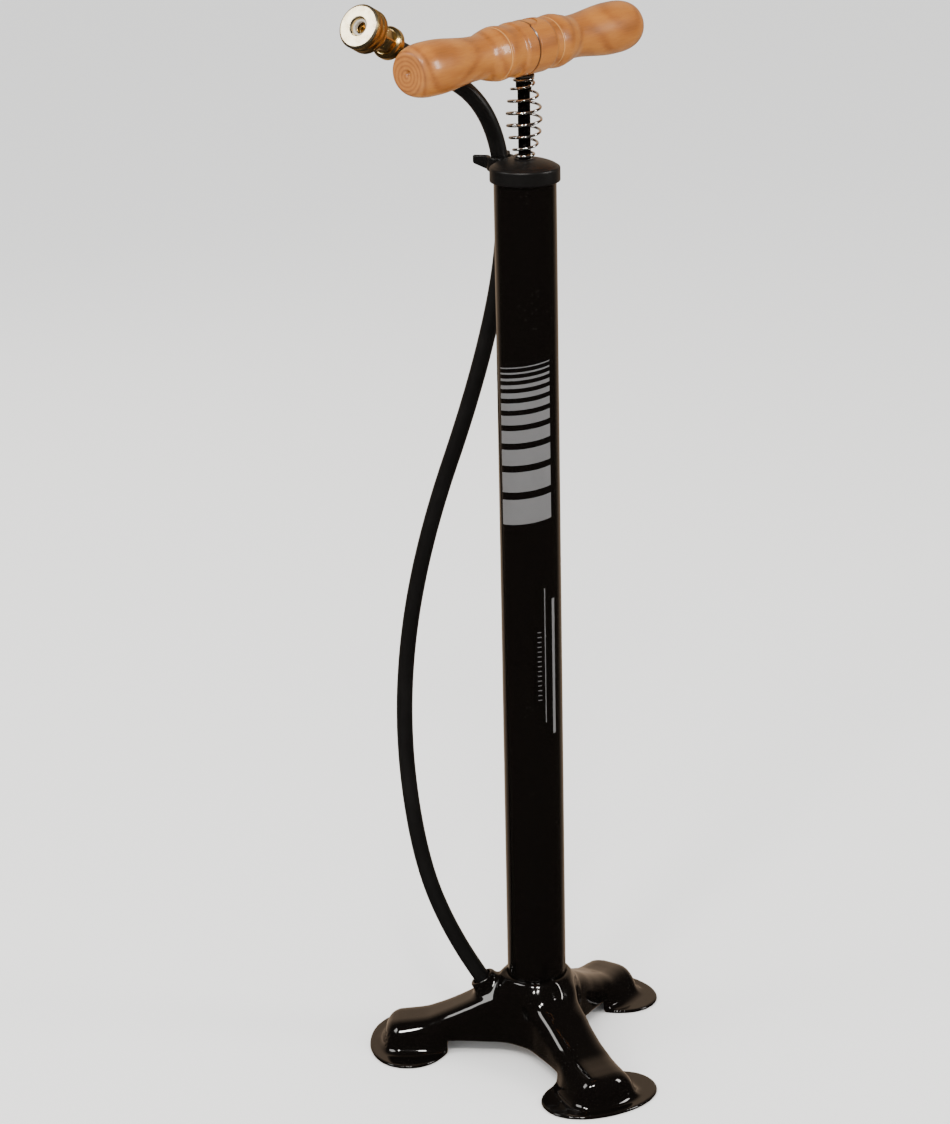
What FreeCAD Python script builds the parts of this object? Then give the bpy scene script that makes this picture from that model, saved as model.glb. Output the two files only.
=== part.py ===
import FreeCAD, Part
import math
import os
import re
import Sketcher

# A floor-standing bicycle pump: a pressed steel tripod, a steel barrel with a plastic cap, a rod with a
# turned wooden handle over a barrel-shaped bumper spring, and a rubber hose with a brass screw-on connector.
# The origin is on the floor under the barrel's axis, +Z is up, and one foot points along +X.

Vector = FreeCAD.Vector
Rotation = FreeCAD.Rotation
Placement = FreeCAD.Placement
xAxis = Vector(1, 0, 0)
zAxis = Vector(0, 0, 1)
legCount = 3

# Driving sizes in millimetres and degrees. Every other size is worked out from these.
drivingSizes = {
    # barrel
    "barrel_dia": 40.0,
    "barrel_wall": 1.5,
    "barrel_length": 602.0,
    "barrel_lift": 12.0,
    # pressed steel tripod
    "sheet_thick": 2.0,
    "collar_height": 54.0,
    "collar_flare": 3.5,
    "leg_half_width": 18.5,
    "knuckle_half_width": 22.5,
    "knuckle_height": 21.5,
    "knuckle_reach": 84.0,
    "nose_reach": 107.0,
    "crown_radius": 7.0,
    "foot_reach": 88.0,
    "foot_radial": 29.5,
    "foot_across": 42.0,
    "arch_height": 9.0,
    "arch_inset": 4.5,
    # valve in the foot of the barrel
    "plug_height": 24.0,
    "plug_flange": 3.0,
    "chamber_dia": 8.0,
    "chamber_height": 15.0,
    "port_dia": 3.5,
    "ball_dia": 6.0,
    "valve_wire": 0.6,
    "valve_travel": 2.0,
    "screw_height": 4.0,
    # outlet through the root of one leg
    "outlet_dia": 9.0,
    "outlet_level": 27.0,
    "outlet_gap": 13.0,
    "outlet_height": 42.5,
    "outlet_rise": 56.0,
    # cap on top of the barrel
    "cap_wall": 2.5,
    "cap_height": 14.6,
    "cap_grip": 7.6,
    "cap_shoulder": 9.4,
    "bush_dia": 14.0,
    "bush_height": 7.0,
    "felt_height": 3.0,
    "clip_gap": 10.85,
    "clip_angle": 62.2,
    "clip_wall": 2.6,
    "clip_height": 11.0,
    "clip_lip": 12.0,
    "clip_mouth": 9.5,
    # rod, spring and handle
    "rod_dia": 8.0,
    "rod_shoulder": 1.0,
    "rod_collar_length": 10.0,
    "spring_length": 51.3,
    "spring_wire": 1.7,
    "spring_mid_dia": 23.6,
    "seat_dia": 14.0,
    "seat_thick": 1.2,
    "bumper_travel": 15.0,
    "handle_length": 221.0,
    "handle_band": 34.4,
    "handle_waist": 32.2,
    "handle_bead": 34.0,
    "handle_neck": 27.2,
    "handle_bulge": 33.4,
    "handle_end": 21.8,
    "handle_flat": 0.3,
    "handle_yaw": -6.0,
    "nut_across": 13.0,
    "nut_height": 6.5,
    "nut_sink": 13.0,
    "washer_dia": 16.0,
    "washer_thick": 1.5,
    # piston
    "piston_gap": 3.0,
    "cup_height": 9.0,
    "cup_wall": 2.0,
    "plate_thick": 2.0,
    # hose and connector
    "hose_dia": 11.0,
    "chuck_rise": 25.4,
    "ferrule_dia": 21.0,
    "ferrule_length": 9.0,
    "stem_dia": 16.0,
    "stem_flats": 14.2,
    "stem_length": 17.7,
    "air_bore": 5.0,
    "thread_dia": 13.0,
    "thread_length": 6.5,
    "ring_dia": 28.0,
    "ring_length": 13.2,
    "ring_wall": 2.5,
    "valve_bore": 10.5,
    "bore_chamfer": 1.0,
    "valve_gasket": 2.8,
    "gasket_bore": 8.0,
    "washer_bore": 9.4,
    "thrust_thick": 1.0,
    "pin_dia": 2.0,
    # clearances, each on the radius or across a gap
    "slide_fit": 0.1,
    "turn_fit": 0.3,
    "hose_fit": 1.25,
}

# Where the hose runs, from the outlet in the base to the back of the connector. Each point has a gap from the
# barrel's side, an angle about the barrel, a share of the way up to the cap, and a rise from there. Two more
# points at the start lie on the outlet's axis, and one before the end lies on the connector's.
hoseRoute = [
    (62.32, 111.67, 0.2309, 0.0),
    (75.78, 102.79, 0.3958, 0.0),
    (63.15, 95.94, 0.5739, 0.0),
    (22.62, 76.84, 0.7866, 0.0),
    (12.41, 51.89, 1.0, -34.4),
    (10.36, 72.76, 1.0, 43.6),
]
hoseEnd = (63.12, 138.76, 1.0, 90.3)
outletRun = 42.0
chuckRun = 33.0

# The handle's outline: shares of its half length, and the diameter that it has there.
handleShape = [
    (0.0, "handle_band"),
    (0.143, "handle_waist"),
    (0.254, "handle_bead"),
    (0.411, "handle_neck"),
    (0.786, "handle_bulge"),
]
handleEndShare = 0.161

doc = FreeCAD.newDocument("FloorPump")
sheet = doc.addObject("Spreadsheet::Sheet", "Sizes")
for line, (alias, number) in enumerate(drivingSizes.items(), start=1):
    sheet.set("A%d" % line, alias)
    sheet.set("B%d" % line, str(number))
    sheet.setAlias("B%d" % line, alias)
doc.recompute()


# --- Sizes and expressions ---


def bound(text):
    """An expression in the sheet's terms: each alias gets the sheet's name in front."""
    return re.sub(r"[a-z]+_[a-z_]+", lambda found: "Sizes." + found.group(0), str(text))


def amount(text):
    """The value that an expression has now."""
    return float(sheet.evalExpression(bound(text)))


def bind(item, **sizes):
    """Bind an object's properties to expressions."""
    for name, text in sizes.items():
        item.setExpression(name, bound(text))


# Heights above the floor, and the reach of pieces that stand on each other.
barrelRadius = "(barrel_dia / 2)"
barrelBore = "(barrel_dia / 2 - barrel_wall)"
capRadius = "(barrel_dia / 2 + cap_wall)"
collarRadius = "(rod_dia / 2 + rod_shoulder)"
clipReach = "(barrel_dia / 2 + clip_gap)"
outletReach = "(barrel_dia / 2 + outlet_gap)"
capBottom = "(barrel_lift + barrel_length - cap_grip)"
capTop = "(barrel_lift + barrel_length - cap_grip + cap_height)"
seatBottom = "(%s + spring_length)" % capTop
seatTop = "(%s + seat_thick)" % seatBottom
handleAxis = "(%s + handle_band / 2 - handle_flat)" % seatTop
plugTop = "(barrel_lift + plug_height)"
pistonFoot = "(%s + bumper_travel + piston_gap)" % plugTop


# --- Builders ---


def addBody(label):
    body = doc.addObject("PartDesign::Body", label)
    body.Label = label
    return body


def addSketch(body, plane, offset="0"):
    """A sketch on one of the body's own origin planes, or parallel to it."""
    sketch = body.newObject("Sketcher::SketchObject", body.Label + "Sketch")
    support = [feature for feature in body.Origin.OriginFeatures if feature.Role == plane][0]
    sketch.AttachmentSupport = [(support, "")]
    sketch.MapMode = "FlatFace"
    sketch.setExpression("AttachmentOffset.Base.z", bound(offset))
    return sketch


def pinPoint(sketch, line, across, up):
    """Hold a line's start at a distance from the sketch's origin."""
    if across == "0":
        sketch.addConstraint(Sketcher.Constraint("PointOnObject", line, 1, -2))
    else:
        index = sketch.addConstraint(Sketcher.Constraint("DistanceX", -1, 1, line, 1, amount(across)))
        sketch.setExpression("Constraints[%d]" % index, bound(across))
    if up == "0":
        sketch.addConstraint(Sketcher.Constraint("PointOnObject", line, 1, -1))
    else:
        index = sketch.addConstraint(Sketcher.Constraint("DistanceY", -1, 1, line, 1, amount(up)))
        sketch.setExpression("Constraints[%d]" % index, bound(up))


def drawOutline(sketch, outline):
    """A closed outline of straight lines through points given as pairs of expressions."""
    corners = [Vector(amount(across), amount(up), 0) for across, up in outline]
    count = len(corners)
    for index in range(count):
        sketch.addGeometry(Part.LineSegment(corners[index], corners[(index + 1) % count]), False)
    for index in range(count):
        sketch.addConstraint(Sketcher.Constraint("Coincident", index, 2, (index + 1) % count, 1))
    for index, (across, up) in enumerate(outline):
        pinPoint(sketch, index, across, up)


def place(item, across="0", along="0", up="0"):
    item.setExpression("Placement.Base.x", bound(across))
    item.setExpression("Placement.Base.y", bound(along))
    item.setExpression("Placement.Base.z", bound(up))


def turned(label, outline, up=None):
    """A turned piece about its own Z. Its outline is a list of (radius, height) expressions."""
    body = addBody(label)
    sketch = addSketch(body, "XZ_Plane")
    drawOutline(sketch, outline)
    revolution = body.newObject("PartDesign::Revolution", label + "Turn")
    revolution.Profile = sketch
    revolution.ReferenceAxis = (sketch, ["V_Axis"])
    revolution.Angle = 360
    if up is not None:
        place(body, up=up)
    doc.recompute()
    return body


def ring(label, inner, outer, height, up=None):
    return turned(label, [(inner, "0"), (outer, "0"), (outer, height), (inner, height)], up)


def primitive(body, kind, name, placement, **sizes):
    """An additive or subtractive PartDesign primitive at a placement of its own."""
    feature = body.newObject("PartDesign::" + kind, body.Label + name)
    bind(feature, **sizes)
    feature.Placement = placement
    doc.recompute()
    return feature


def softened(body, radius, chosen):
    """Fillet the edges of the body's tip that a test picks out."""
    tip = body.Tip
    names = ["Edge%d" % (index + 1) for index, edge in enumerate(tip.Shape.Edges) if chosen(edge)]
    fillet = body.newObject("PartDesign::Fillet", body.Label + "Soft")
    fillet.Base = (tip, names)
    bind(fillet, Radius=radius)
    doc.recompute()


def roundEdge(radius, height):
    """A test for the circle of this radius at this height, both as expressions in the body's frame."""
    wantedRadius = amount(radius)
    wantedHeight = amount(height)

    def test(edge):
        if not isinstance(edge.Curve, Part.Circle):
            return False
        sameRadius = abs(edge.Curve.Radius - wantedRadius) < 0.01
        return sameRadius and abs(edge.Curve.Center.z - wantedHeight) < 0.01
    return test


def polar(reach, degrees, height):
    angle = math.radians(degrees)
    return Vector(reach * math.cos(angle), reach * math.sin(angle), height)


def aimed(base, direction):
    """A placement whose local Z points along a direction."""
    return Placement(base, Rotation(zAxis, direction))


# --- Tripod ---

footAngle = 360.0 / legCount
outletAngle = footAngle
outletAim = polar(math.cos(math.radians(amount("outlet_rise"))), outletAngle,
                  math.sin(math.radians(amount("outlet_rise"))))
outletMouth = polar(amount(outletReach), outletAngle, amount("outlet_height"))


def archSection(body, reach, halfWidth, height, crown):
    """A section across a leg: a flat foot, upright sides and a crown with two rounded shoulders."""
    sketch = addSketch(body, "YZ_Plane", reach)
    half = amount(halfWidth)
    top = amount(height)
    bend = amount(crown)
    side = top - bend
    corner = half - bend
    sketch.addGeometry(Part.LineSegment(Vector(-half, 0, 0), Vector(half, 0, 0)), False)
    sketch.addGeometry(Part.LineSegment(Vector(half, 0, 0), Vector(half, side, 0)), False)
    rightArc = Part.Circle(Vector(corner, side, 0), zAxis, bend)
    sketch.addGeometry(Part.ArcOfCircle(rightArc, 0, math.pi / 2), False)
    sketch.addGeometry(Part.LineSegment(Vector(corner, top, 0), Vector(-corner, top, 0)), False)
    leftArc = Part.Circle(Vector(-corner, side, 0), zAxis, bend)
    sketch.addGeometry(Part.ArcOfCircle(leftArc, math.pi / 2, math.pi), False)
    sketch.addGeometry(Part.LineSegment(Vector(-half, side, 0), Vector(-half, 0, 0)), False)
    for first, second in ((1, 2), (2, 3), (3, 4), (4, 5)):
        sketch.addConstraint(Sketcher.Constraint("Tangent", first, 2, second, 1))
    sketch.addConstraint(Sketcher.Constraint("Coincident", 0, 2, 1, 1))
    sketch.addConstraint(Sketcher.Constraint("Coincident", 5, 2, 0, 1))
    sketch.addConstraint(Sketcher.Constraint("PointOnObject", 0, 1, -1))
    sketch.addConstraint(Sketcher.Constraint("Symmetric", 0, 1, 0, 2, -2))
    sketch.addConstraint(Sketcher.Constraint("Horizontal", 3))
    sketch.addConstraint(Sketcher.Constraint("Vertical", 1))
    sketch.addConstraint(Sketcher.Constraint("Vertical", 5))
    sketch.addConstraint(Sketcher.Constraint("Equal", 2, 4))
    width = sketch.addConstraint(Sketcher.Constraint("DistanceX", -1, 1, 0, 2, half))
    rise = sketch.addConstraint(Sketcher.Constraint("DistanceY", -1, 1, 3, 1, top))
    radius = sketch.addConstraint(Sketcher.Constraint("Radius", 2, bend))
    sketch.setExpression("Constraints[%d]" % width, bound(halfWidth))
    sketch.setExpression("Constraints[%d]" % rise, bound(height))
    sketch.setExpression("Constraints[%d]" % radius, bound(crown))
    return sketch


def legStations(skin):
    """Sections along a leg, from inside the collar to the nose: reach, half width, height and crown."""
    rootHeight = "(collar_height - 3)"
    rise = "(%s - knuckle_height)" % rootHeight
    shapes = [
        # share of the way to the knuckle, share of the rise left, share of the knuckle's extra width
        (0.00, 1.00, 0.00),
        (0.14, 1.01, 0.00),
        (0.28, 0.93, 0.00),
        (0.48, 0.62, 0.00),
        (0.66, 0.33, 0.10),
        (0.82, 0.10, 0.60),
        (1.00, 0.00, 1.00),
    ]
    stations = []
    for share, left, extra in shapes:
        halfWidth = "(leg_half_width + %s * (knuckle_half_width - leg_half_width))" % extra
        height = "(knuckle_height + %s * %s)" % (left, rise)
        stations.append(("%s * knuckle_reach" % share, halfWidth, height))
    nose = [
        # share of the way from the knuckle to the nose, shares of the width and height that are left
        (0.55, 0.97, 0.93),
        (0.85, 0.84, 0.72),
        (1.00, 0.68, 0.42),
    ]
    for share, widthLeft, heightLeft in nose:
        reach = "(knuckle_reach + %s * (nose_reach - knuckle_reach))" % share
        halfWidth = "(%s * knuckle_half_width)" % widthLeft
        stations.append((reach, halfWidth, "(%s * knuckle_height)" % heightLeft))
    if skin:
        last = stations.pop()
        stations.append(("(%s - sheet_thick)" % last[0], last[1], last[2]))
    inset = "sheet_thick" if skin else "0"
    return [(reach, "(%s - %s)" % (half, inset), "(%s - %s)" % (height, inset), "(crown_radius - %s)" % inset)
            for reach, half, height in stations]


def addLeg(body, kind, skin):
    sections = [archSection(body, *station) for station in legStations(skin)]
    doc.recompute()
    loft = body.newObject("PartDesign::" + kind, body.Label + kind)
    loft.Profile = sections[0]
    loft.Sections = [(section, [""]) for section in sections[1:]]
    loft.Ruled = False
    doc.recompute()
    return loft


def aroundLegs(body, features):
    pattern = body.newObject("PartDesign::PolarPattern", body.Label + "Legs")
    pattern.Originals = features
    support = [feature for feature in body.Origin.OriginFeatures if feature.Role == "Z_Axis"][0]
    pattern.Axis = (support, [""])
    pattern.Angle = 360
    pattern.Occurrences = legCount
    body.Tip = pattern
    doc.recompute()
    return pattern


def ellipseSketch(body):
    sketch = addSketch(body, "XY_Plane")
    centre = Vector(amount("foot_reach"), 0, 0)
    along = Vector(0, amount("foot_across"), 0)
    short = Vector(-amount("foot_radial"), 0, 0)
    sketch.addGeometry(Part.Ellipse(centre + along, centre + short, centre), False)
    sketch.exposeInternalGeometry(0)
    sketch.addConstraint(Sketcher.Constraint("PointOnObject", 0, 3, -1))
    sketch.addConstraint(Sketcher.Constraint("Vertical", 1))
    reach = sketch.addConstraint(Sketcher.Constraint("DistanceX", -1, 1, 0, 3, centre.x))
    across = sketch.addConstraint(Sketcher.Constraint("Distance", 1, 2 * along.Length))
    radial = sketch.addConstraint(Sketcher.Constraint("Distance", 2, 2 * short.Length))
    sketch.setExpression("Constraints[%d]" % reach, bound("foot_reach"))
    sketch.setExpression("Constraints[%d]" % across, bound("2 * foot_across"))
    sketch.setExpression("Constraints[%d]" % radial, bound("2 * foot_radial"))
    return sketch


def buildTripod():
    hubRadius = barrelRadius + " + sheet_thick + collar_flare"
    body = turned("base_tripod", [
        ("0", "0"),
        (hubRadius, "0"),
        (hubRadius, "collar_height - 20"),
        (barrelRadius + " + sheet_thick", "collar_height"),
        ("0", "collar_height"),
    ])
    leg = addLeg(body, "AdditiveLoft", False)
    foot = body.newObject("PartDesign::Pad", "base_tripodFoot")
    foot.Profile = ellipseSketch(body)
    bind(foot, Length="sheet_thick")
    doc.recompute()
    aroundLegs(body, [leg, foot])
    hollow = addLeg(body, "SubtractiveLoft", True)
    aroundLegs(body, [hollow])
    primitive(body, "SubtractiveCylinder", "Hub", Placement(), Radius=hubRadius + " - sheet_thick",
              Height="collar_height - 20")
    primitive(body, "SubtractiveCylinder", "Collar", Placement(), Radius=barrelRadius + " + slide_fit",
              Height="collar_height + 10")
    primitive(body, "SubtractiveCylinder", "Arch", Placement(),
              Radius="foot_reach - foot_radial + arch_inset", Height="arch_height")
    primitive(body, "SubtractiveCylinder", "HoseHole", aimed(outletMouth - outletAim * 10, outletAim),
              Radius="hose_dia / 2 + hose_fit", Height="40")


# --- Barrel and its valve ---

elbowCorner = polar(amount(outletReach + " - (outlet_height - outlet_level) / tan(outlet_rise)"), outletAngle,
                    amount("outlet_level"))
outletStart = polar(amount(barrelBore + " - 4"), outletAngle, amount("outlet_level"))
outletAcross = polar(1, outletAngle, 0)


def buildBarrel():
    """A drawn tube with a hole near its foot for the outlet."""
    body = ring("barrel_tube", barrelBore, barrelRadius, "barrel_length", "barrel_lift")
    start = polar(amount("barrel_dia / 4"), outletAngle, amount("outlet_level - barrel_lift"))
    primitive(body, "SubtractiveCylinder", "Outlet", aimed(start, outletAcross),
              Radius="outlet_dia / 2 + slide_fit", Height="barrel_dia / 2")


def buildValvePlug():
    """A plug in the foot of the barrel, with the check valve's chamber and the way to the outlet."""
    body = turned("valve_plug", [
        ("port_dia / 2", "plug_flange"),
        ("port_dia / 2", "plug_flange + plug_height"),
        (barrelBore, "plug_flange + plug_height"),
        (barrelBore, "plug_flange"),
        (barrelRadius, "plug_flange"),
        (barrelRadius, "0"),
        ("chamber_dia / 2 + 2", "0"),
        ("chamber_dia / 2 + 2", "plug_flange"),
    ], "barrel_lift - plug_flange")
    lift = amount("plug_flange")
    primitive(body, "SubtractiveCylinder", "Chamber", Placement(Vector(0, 0, lift - 1), Rotation()),
              Radius="chamber_dia / 2", Height="chamber_height + screw_height + 1")
    primitive(body, "SubtractiveCylinder", "Screw", Placement(Vector(0, 0, lift - 1), Rotation()),
              Radius="chamber_dia / 2 + 2", Height="screw_height + 1")
    primitive(body, "SubtractiveCone", "Seat",
              Placement(Vector(0, 0, amount("plug_flange + chamber_height + screw_height")), Rotation()),
              Radius1="chamber_dia / 2", Radius2="port_dia / 2", Height="(chamber_dia - port_dia) / 2")
    outlet = outletStart - Vector(0, 0, amount("barrel_lift - plug_flange"))
    primitive(body, "SubtractiveCylinder", "OutletSeat", aimed(outlet, outletAcross),
              Radius="outlet_dia / 2 + slide_fit", Height="barrel_dia / 2")
    primitive(body, "SubtractiveCylinder", "OutletWay", aimed(Vector(0, 0, outlet.z), outletAcross),
              Radius="port_dia / 2", Height="barrel_dia / 2")


def buildValveScrew():
    """The slotted screw that closes the valve chamber from below."""
    body = turned("valve_screw", [
        ("0", "0"),
        ("chamber_dia / 2 + 2 - slide_fit", "0"),
        ("chamber_dia / 2 + 2 - slide_fit", "screw_height - 0.2"),
        ("0", "screw_height - 0.2"),
    ], "barrel_lift")
    wide = amount("chamber_dia + 6")
    primitive(body, "SubtractiveBox", "Slot", Placement(Vector(-wide / 2, -0.6, 0), Rotation()),
              Length=str(wide), Width="1.2", Height="1.2")


chamberTop = "(barrel_lift + screw_height + chamber_height)"
# The ball rests in the cone where the cone's side, at 45 degrees, touches it.
ballCentre = "(%s + chamber_dia / 2 - ball_dia / 2 * sqrt(2) - slide_fit)" % chamberTop


def buildValveBall():
    ball = doc.addObject("Part::Sphere", "valve_ball")
    ball.Label = "valve_ball"
    bind(ball, Radius="ball_dia / 2")
    place(ball, up=ballCentre)


def coil(label, radiusAt, heightAt, turns, wire, lift):
    """A wire wound about the vertical axis, with its radius and height given along its turns."""
    perTurn = 16
    points = []
    for index in range(int(turns * perTurn) + 1):
        turn = index / perTurn
        angle = 2 * math.pi * turn
        radius = radiusAt(turn)
        points.append(Vector(radius * math.cos(angle), radius * math.sin(angle), heightAt(turn)))
    curve = Part.BSplineCurve()
    curve.interpolate(points)
    profile = Part.Circle(points[0], curve.tangent(curve.FirstParameter)[0], wire / 2)
    path = Part.Wire(curve.toShape())
    spring = doc.addObject("Part::Feature", label)
    spring.Label = label
    spring.Shape = path.makePipeShell([Part.Wire(profile.toShape())], True, True)
    spring.Placement = Placement(Vector(0, 0, lift), Rotation())
    return spring


def buildValveSpring():
    wire = amount("valve_wire")
    bottom = amount("barrel_lift + screw_height")
    length = amount(ballCentre + " - ball_dia / 2") - bottom - 2 * amount("slide_fit")
    turns = 4
    pitch = (length - wire) / turns
    radius = amount("port_dia / 2")
    coil("valve_spring", lambda turn: radius, lambda turn: wire / 2 + pitch * turn, turns, wire, bottom)


def buildElbow():
    """The outlet's elbow: out of the plug, through the barrel and up along the hose's axis."""
    level = doc.addObject("Part::Cylinder", "elbowLevel")
    bind(level, Radius="outlet_dia / 2")
    level.Height = (elbowCorner - outletStart).Length
    level.Placement = aimed(outletStart, outletAcross)
    knee = doc.addObject("Part::Sphere", "elbowKnee")
    bind(knee, Radius="outlet_dia / 2")
    knee.Placement = Placement(elbowCorner, Rotation())
    rising = doc.addObject("Part::Cylinder", "elbowRising")
    bind(rising, Radius="outlet_dia / 2")
    rising.Height = (outletMouth - elbowCorner).Length
    rising.Placement = aimed(elbowCorner, outletAim)
    bead = doc.addObject("Part::Cylinder", "elbowBead")
    bind(bead, Radius="hose_dia / 2", Height="3")
    bead.Placement = aimed(outletMouth - outletAim * 3, outletAim)
    whole = doc.addObject("Part::MultiFuse", "outlet_elbow")
    whole.Label = "outlet_elbow"
    whole.Shapes = [level, knee, rising, bead]
    whole.Refine = True


# --- Cap, bush and clip ---


def buildCap():
    """A domed cap over the barrel's top, with a hooked clip for the hose on one side."""
    body = turned("top_cap", [
        (barrelRadius + " + slide_fit", "0"),
        (capRadius, "0"),
        (capRadius, "cap_shoulder"),
        (capRadius + " - 2.5", "cap_shoulder + 2"),
        ("bush_dia / 2 + 2", "cap_height"),
        ("bush_dia / 2 + slide_fit", "cap_height"),
        ("bush_dia / 2 + slide_fit", "cap_grip + 0.5"),
        (barrelRadius + " + slide_fit", "cap_grip + 0.5"),
    ], capBottom)
    angle = amount("clip_angle")
    outer = amount("hose_dia / 2 + hose_fit + clip_wall")
    middle = polar(amount(clipReach), angle, 0)
    wall = amount("clip_wall")
    neckStart = amount(barrelRadius + " + 1")
    neck = Placement(polar(neckStart, angle, 0) - polar(3.5, angle + 90, 0), Rotation(zAxis, angle))
    primitive(body, "AdditiveBox", "Neck", neck, Length="%s - %s" % (clipReach, neckStart), Width="7",
              Height="clip_height")
    primitive(body, "AdditiveCylinder", "ClipRing", Placement(middle, Rotation()), Radius=str(outer),
              Height="clip_height")
    for side in (-1, 1):
        turn = angle + side * 50
        root = middle + polar(outer - wall / 2, angle + side * 40, 0) - polar(1, turn, 0)
        corner = root - polar(wall / 2, turn + 90, 0)
        primitive(body, "AdditiveBox", "Lip", Placement(corner, Rotation(zAxis, turn)), Length="clip_lip",
                  Width="clip_wall", Height="clip_height")
    through = Placement(middle - zAxis, Rotation())
    primitive(body, "SubtractiveCylinder", "ClipBore", through, Radius="hose_dia / 2 + hose_fit",
              Height="clip_height + 2")
    mouth = middle - polar(amount("clip_mouth / 2"), angle + 90, 1)
    primitive(body, "SubtractiveBox", "ClipMouth", Placement(mouth, Rotation(zAxis, angle)),
              Length=str(outer + 1), Width="clip_mouth", Height="clip_height + 2")
    # The ring and neck stay outside the bore that the barrel fills.
    primitive(body, "SubtractiveCylinder", "BarrelBore", Placement(-zAxis, Rotation()),
              Radius=barrelRadius + " + slide_fit", Height="cap_grip + 1.5")


def buildBush():
    """The guide bush under the cap's dome, with a recess for the felt."""
    turned("rod_bush", [
        ("rod_dia / 2 + slide_fit", "0"),
        ("bush_dia / 2", "0"),
        ("bush_dia / 2", "bush_height"),
        ("rod_dia / 2 + 1.5", "bush_height"),
        ("rod_dia / 2 + 1.5", "bush_height - felt_height"),
        ("rod_dia / 2 + slide_fit", "bush_height - felt_height"),
    ], capTop + " - bush_height")
    ring("rod_felt", "rod_dia / 2 + slide_fit / 2", "rod_dia / 2 + 1.5", "felt_height - 0.3",
         capTop + " - felt_height")
    ring("cap_gasket", barrelBore + " - 1", barrelRadius, "0.5", capBottom + " + cap_grip")


# --- Spring, rod and handle ---


def buildBumperSpring():
    wire = amount("spring_wire")
    length = amount("spring_length")
    endRadius = amount(collarRadius + " + slide_fit + spring_wire / 2")
    midRadius = amount("spring_mid_dia / 2 - spring_wire / 2")
    closed = 1.0
    working = 6.0
    turns = working + 2 * closed
    closedRise = wire + 0.15

    def share(turn):
        return min(1.0, max(0.0, (turn - closed) / working))

    def radiusAt(turn):
        return endRadius + (midRadius - endRadius) * math.sin(math.pi * share(turn)) ** 0.9

    def heightAt(turn):
        inner = length - wire - 2 * closedRise
        ends = min(turn, closed) + max(0.0, turn - closed - working)
        return wire / 2 + closedRise * ends / closed + inner * share(turn)

    coil("bumper_spring", radiusAt, heightAt, turns, wire, amount(capTop))


def buildSeat():
    ring("spring_seat", collarRadius + " + turn_fit", "seat_dia / 2", "seat_thick", seatBottom)


rodTop = "(%s + handle_band / 2 - nut_sink + nut_height + 1)" % handleAxis
plateBottom = "(%s + nut_height / 2 + plate_thick + cup_height)" % pistonFoot


def buildRod():
    """The rod from the piston's foot to the nut in the handle, with a collar under the handle."""
    length = "(%s - %s)" % (rodTop, pistonFoot)
    shoulder = "(%s - %s)" % (seatTop, pistonFoot)
    turned("piston_rod", [
        ("0", "0"),
        ("rod_dia / 2 - 1", "0"),
        ("rod_dia / 2 - 1", "%s - %s" % (plateBottom, pistonFoot)),
        ("rod_dia / 2", "%s - %s" % (plateBottom, pistonFoot)),
        ("rod_dia / 2", shoulder + " - rod_collar_length"),
        (collarRadius, shoulder + " - rod_collar_length + 1"),
        (collarRadius, shoulder),
        ("rod_dia / 2", shoulder),
        ("rod_dia / 2", length + " - 0.8"),
        ("rod_dia / 2 - 0.8", length),
        ("0", length),
    ], pistonFoot)


def handleRadius(distance):
    """The turned handle's radius at a distance from its middle: smooth steps between its features."""
    half = amount("handle_length") / 2
    endStart = half * (1 - handleEndShare)
    stations = [(share * half, amount(across) / 2) for share, across in handleShape]
    if distance >= endStart:
        across = min(1.0, (distance - endStart) / (half - endStart))
        face = amount("handle_end") / 2
        return face + (stations[-1][1] - face) * math.sqrt(1 - across * across)
    for (start, startRadius), (stop, stopRadius) in zip(stations, stations[1:]):
        if distance <= stop:
            share = (1 - math.cos(math.pi * (distance - start) / (stop - start))) / 2
            return startRadius + (stopRadius - startRadius) * share
    return stations[-1][1]


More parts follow.
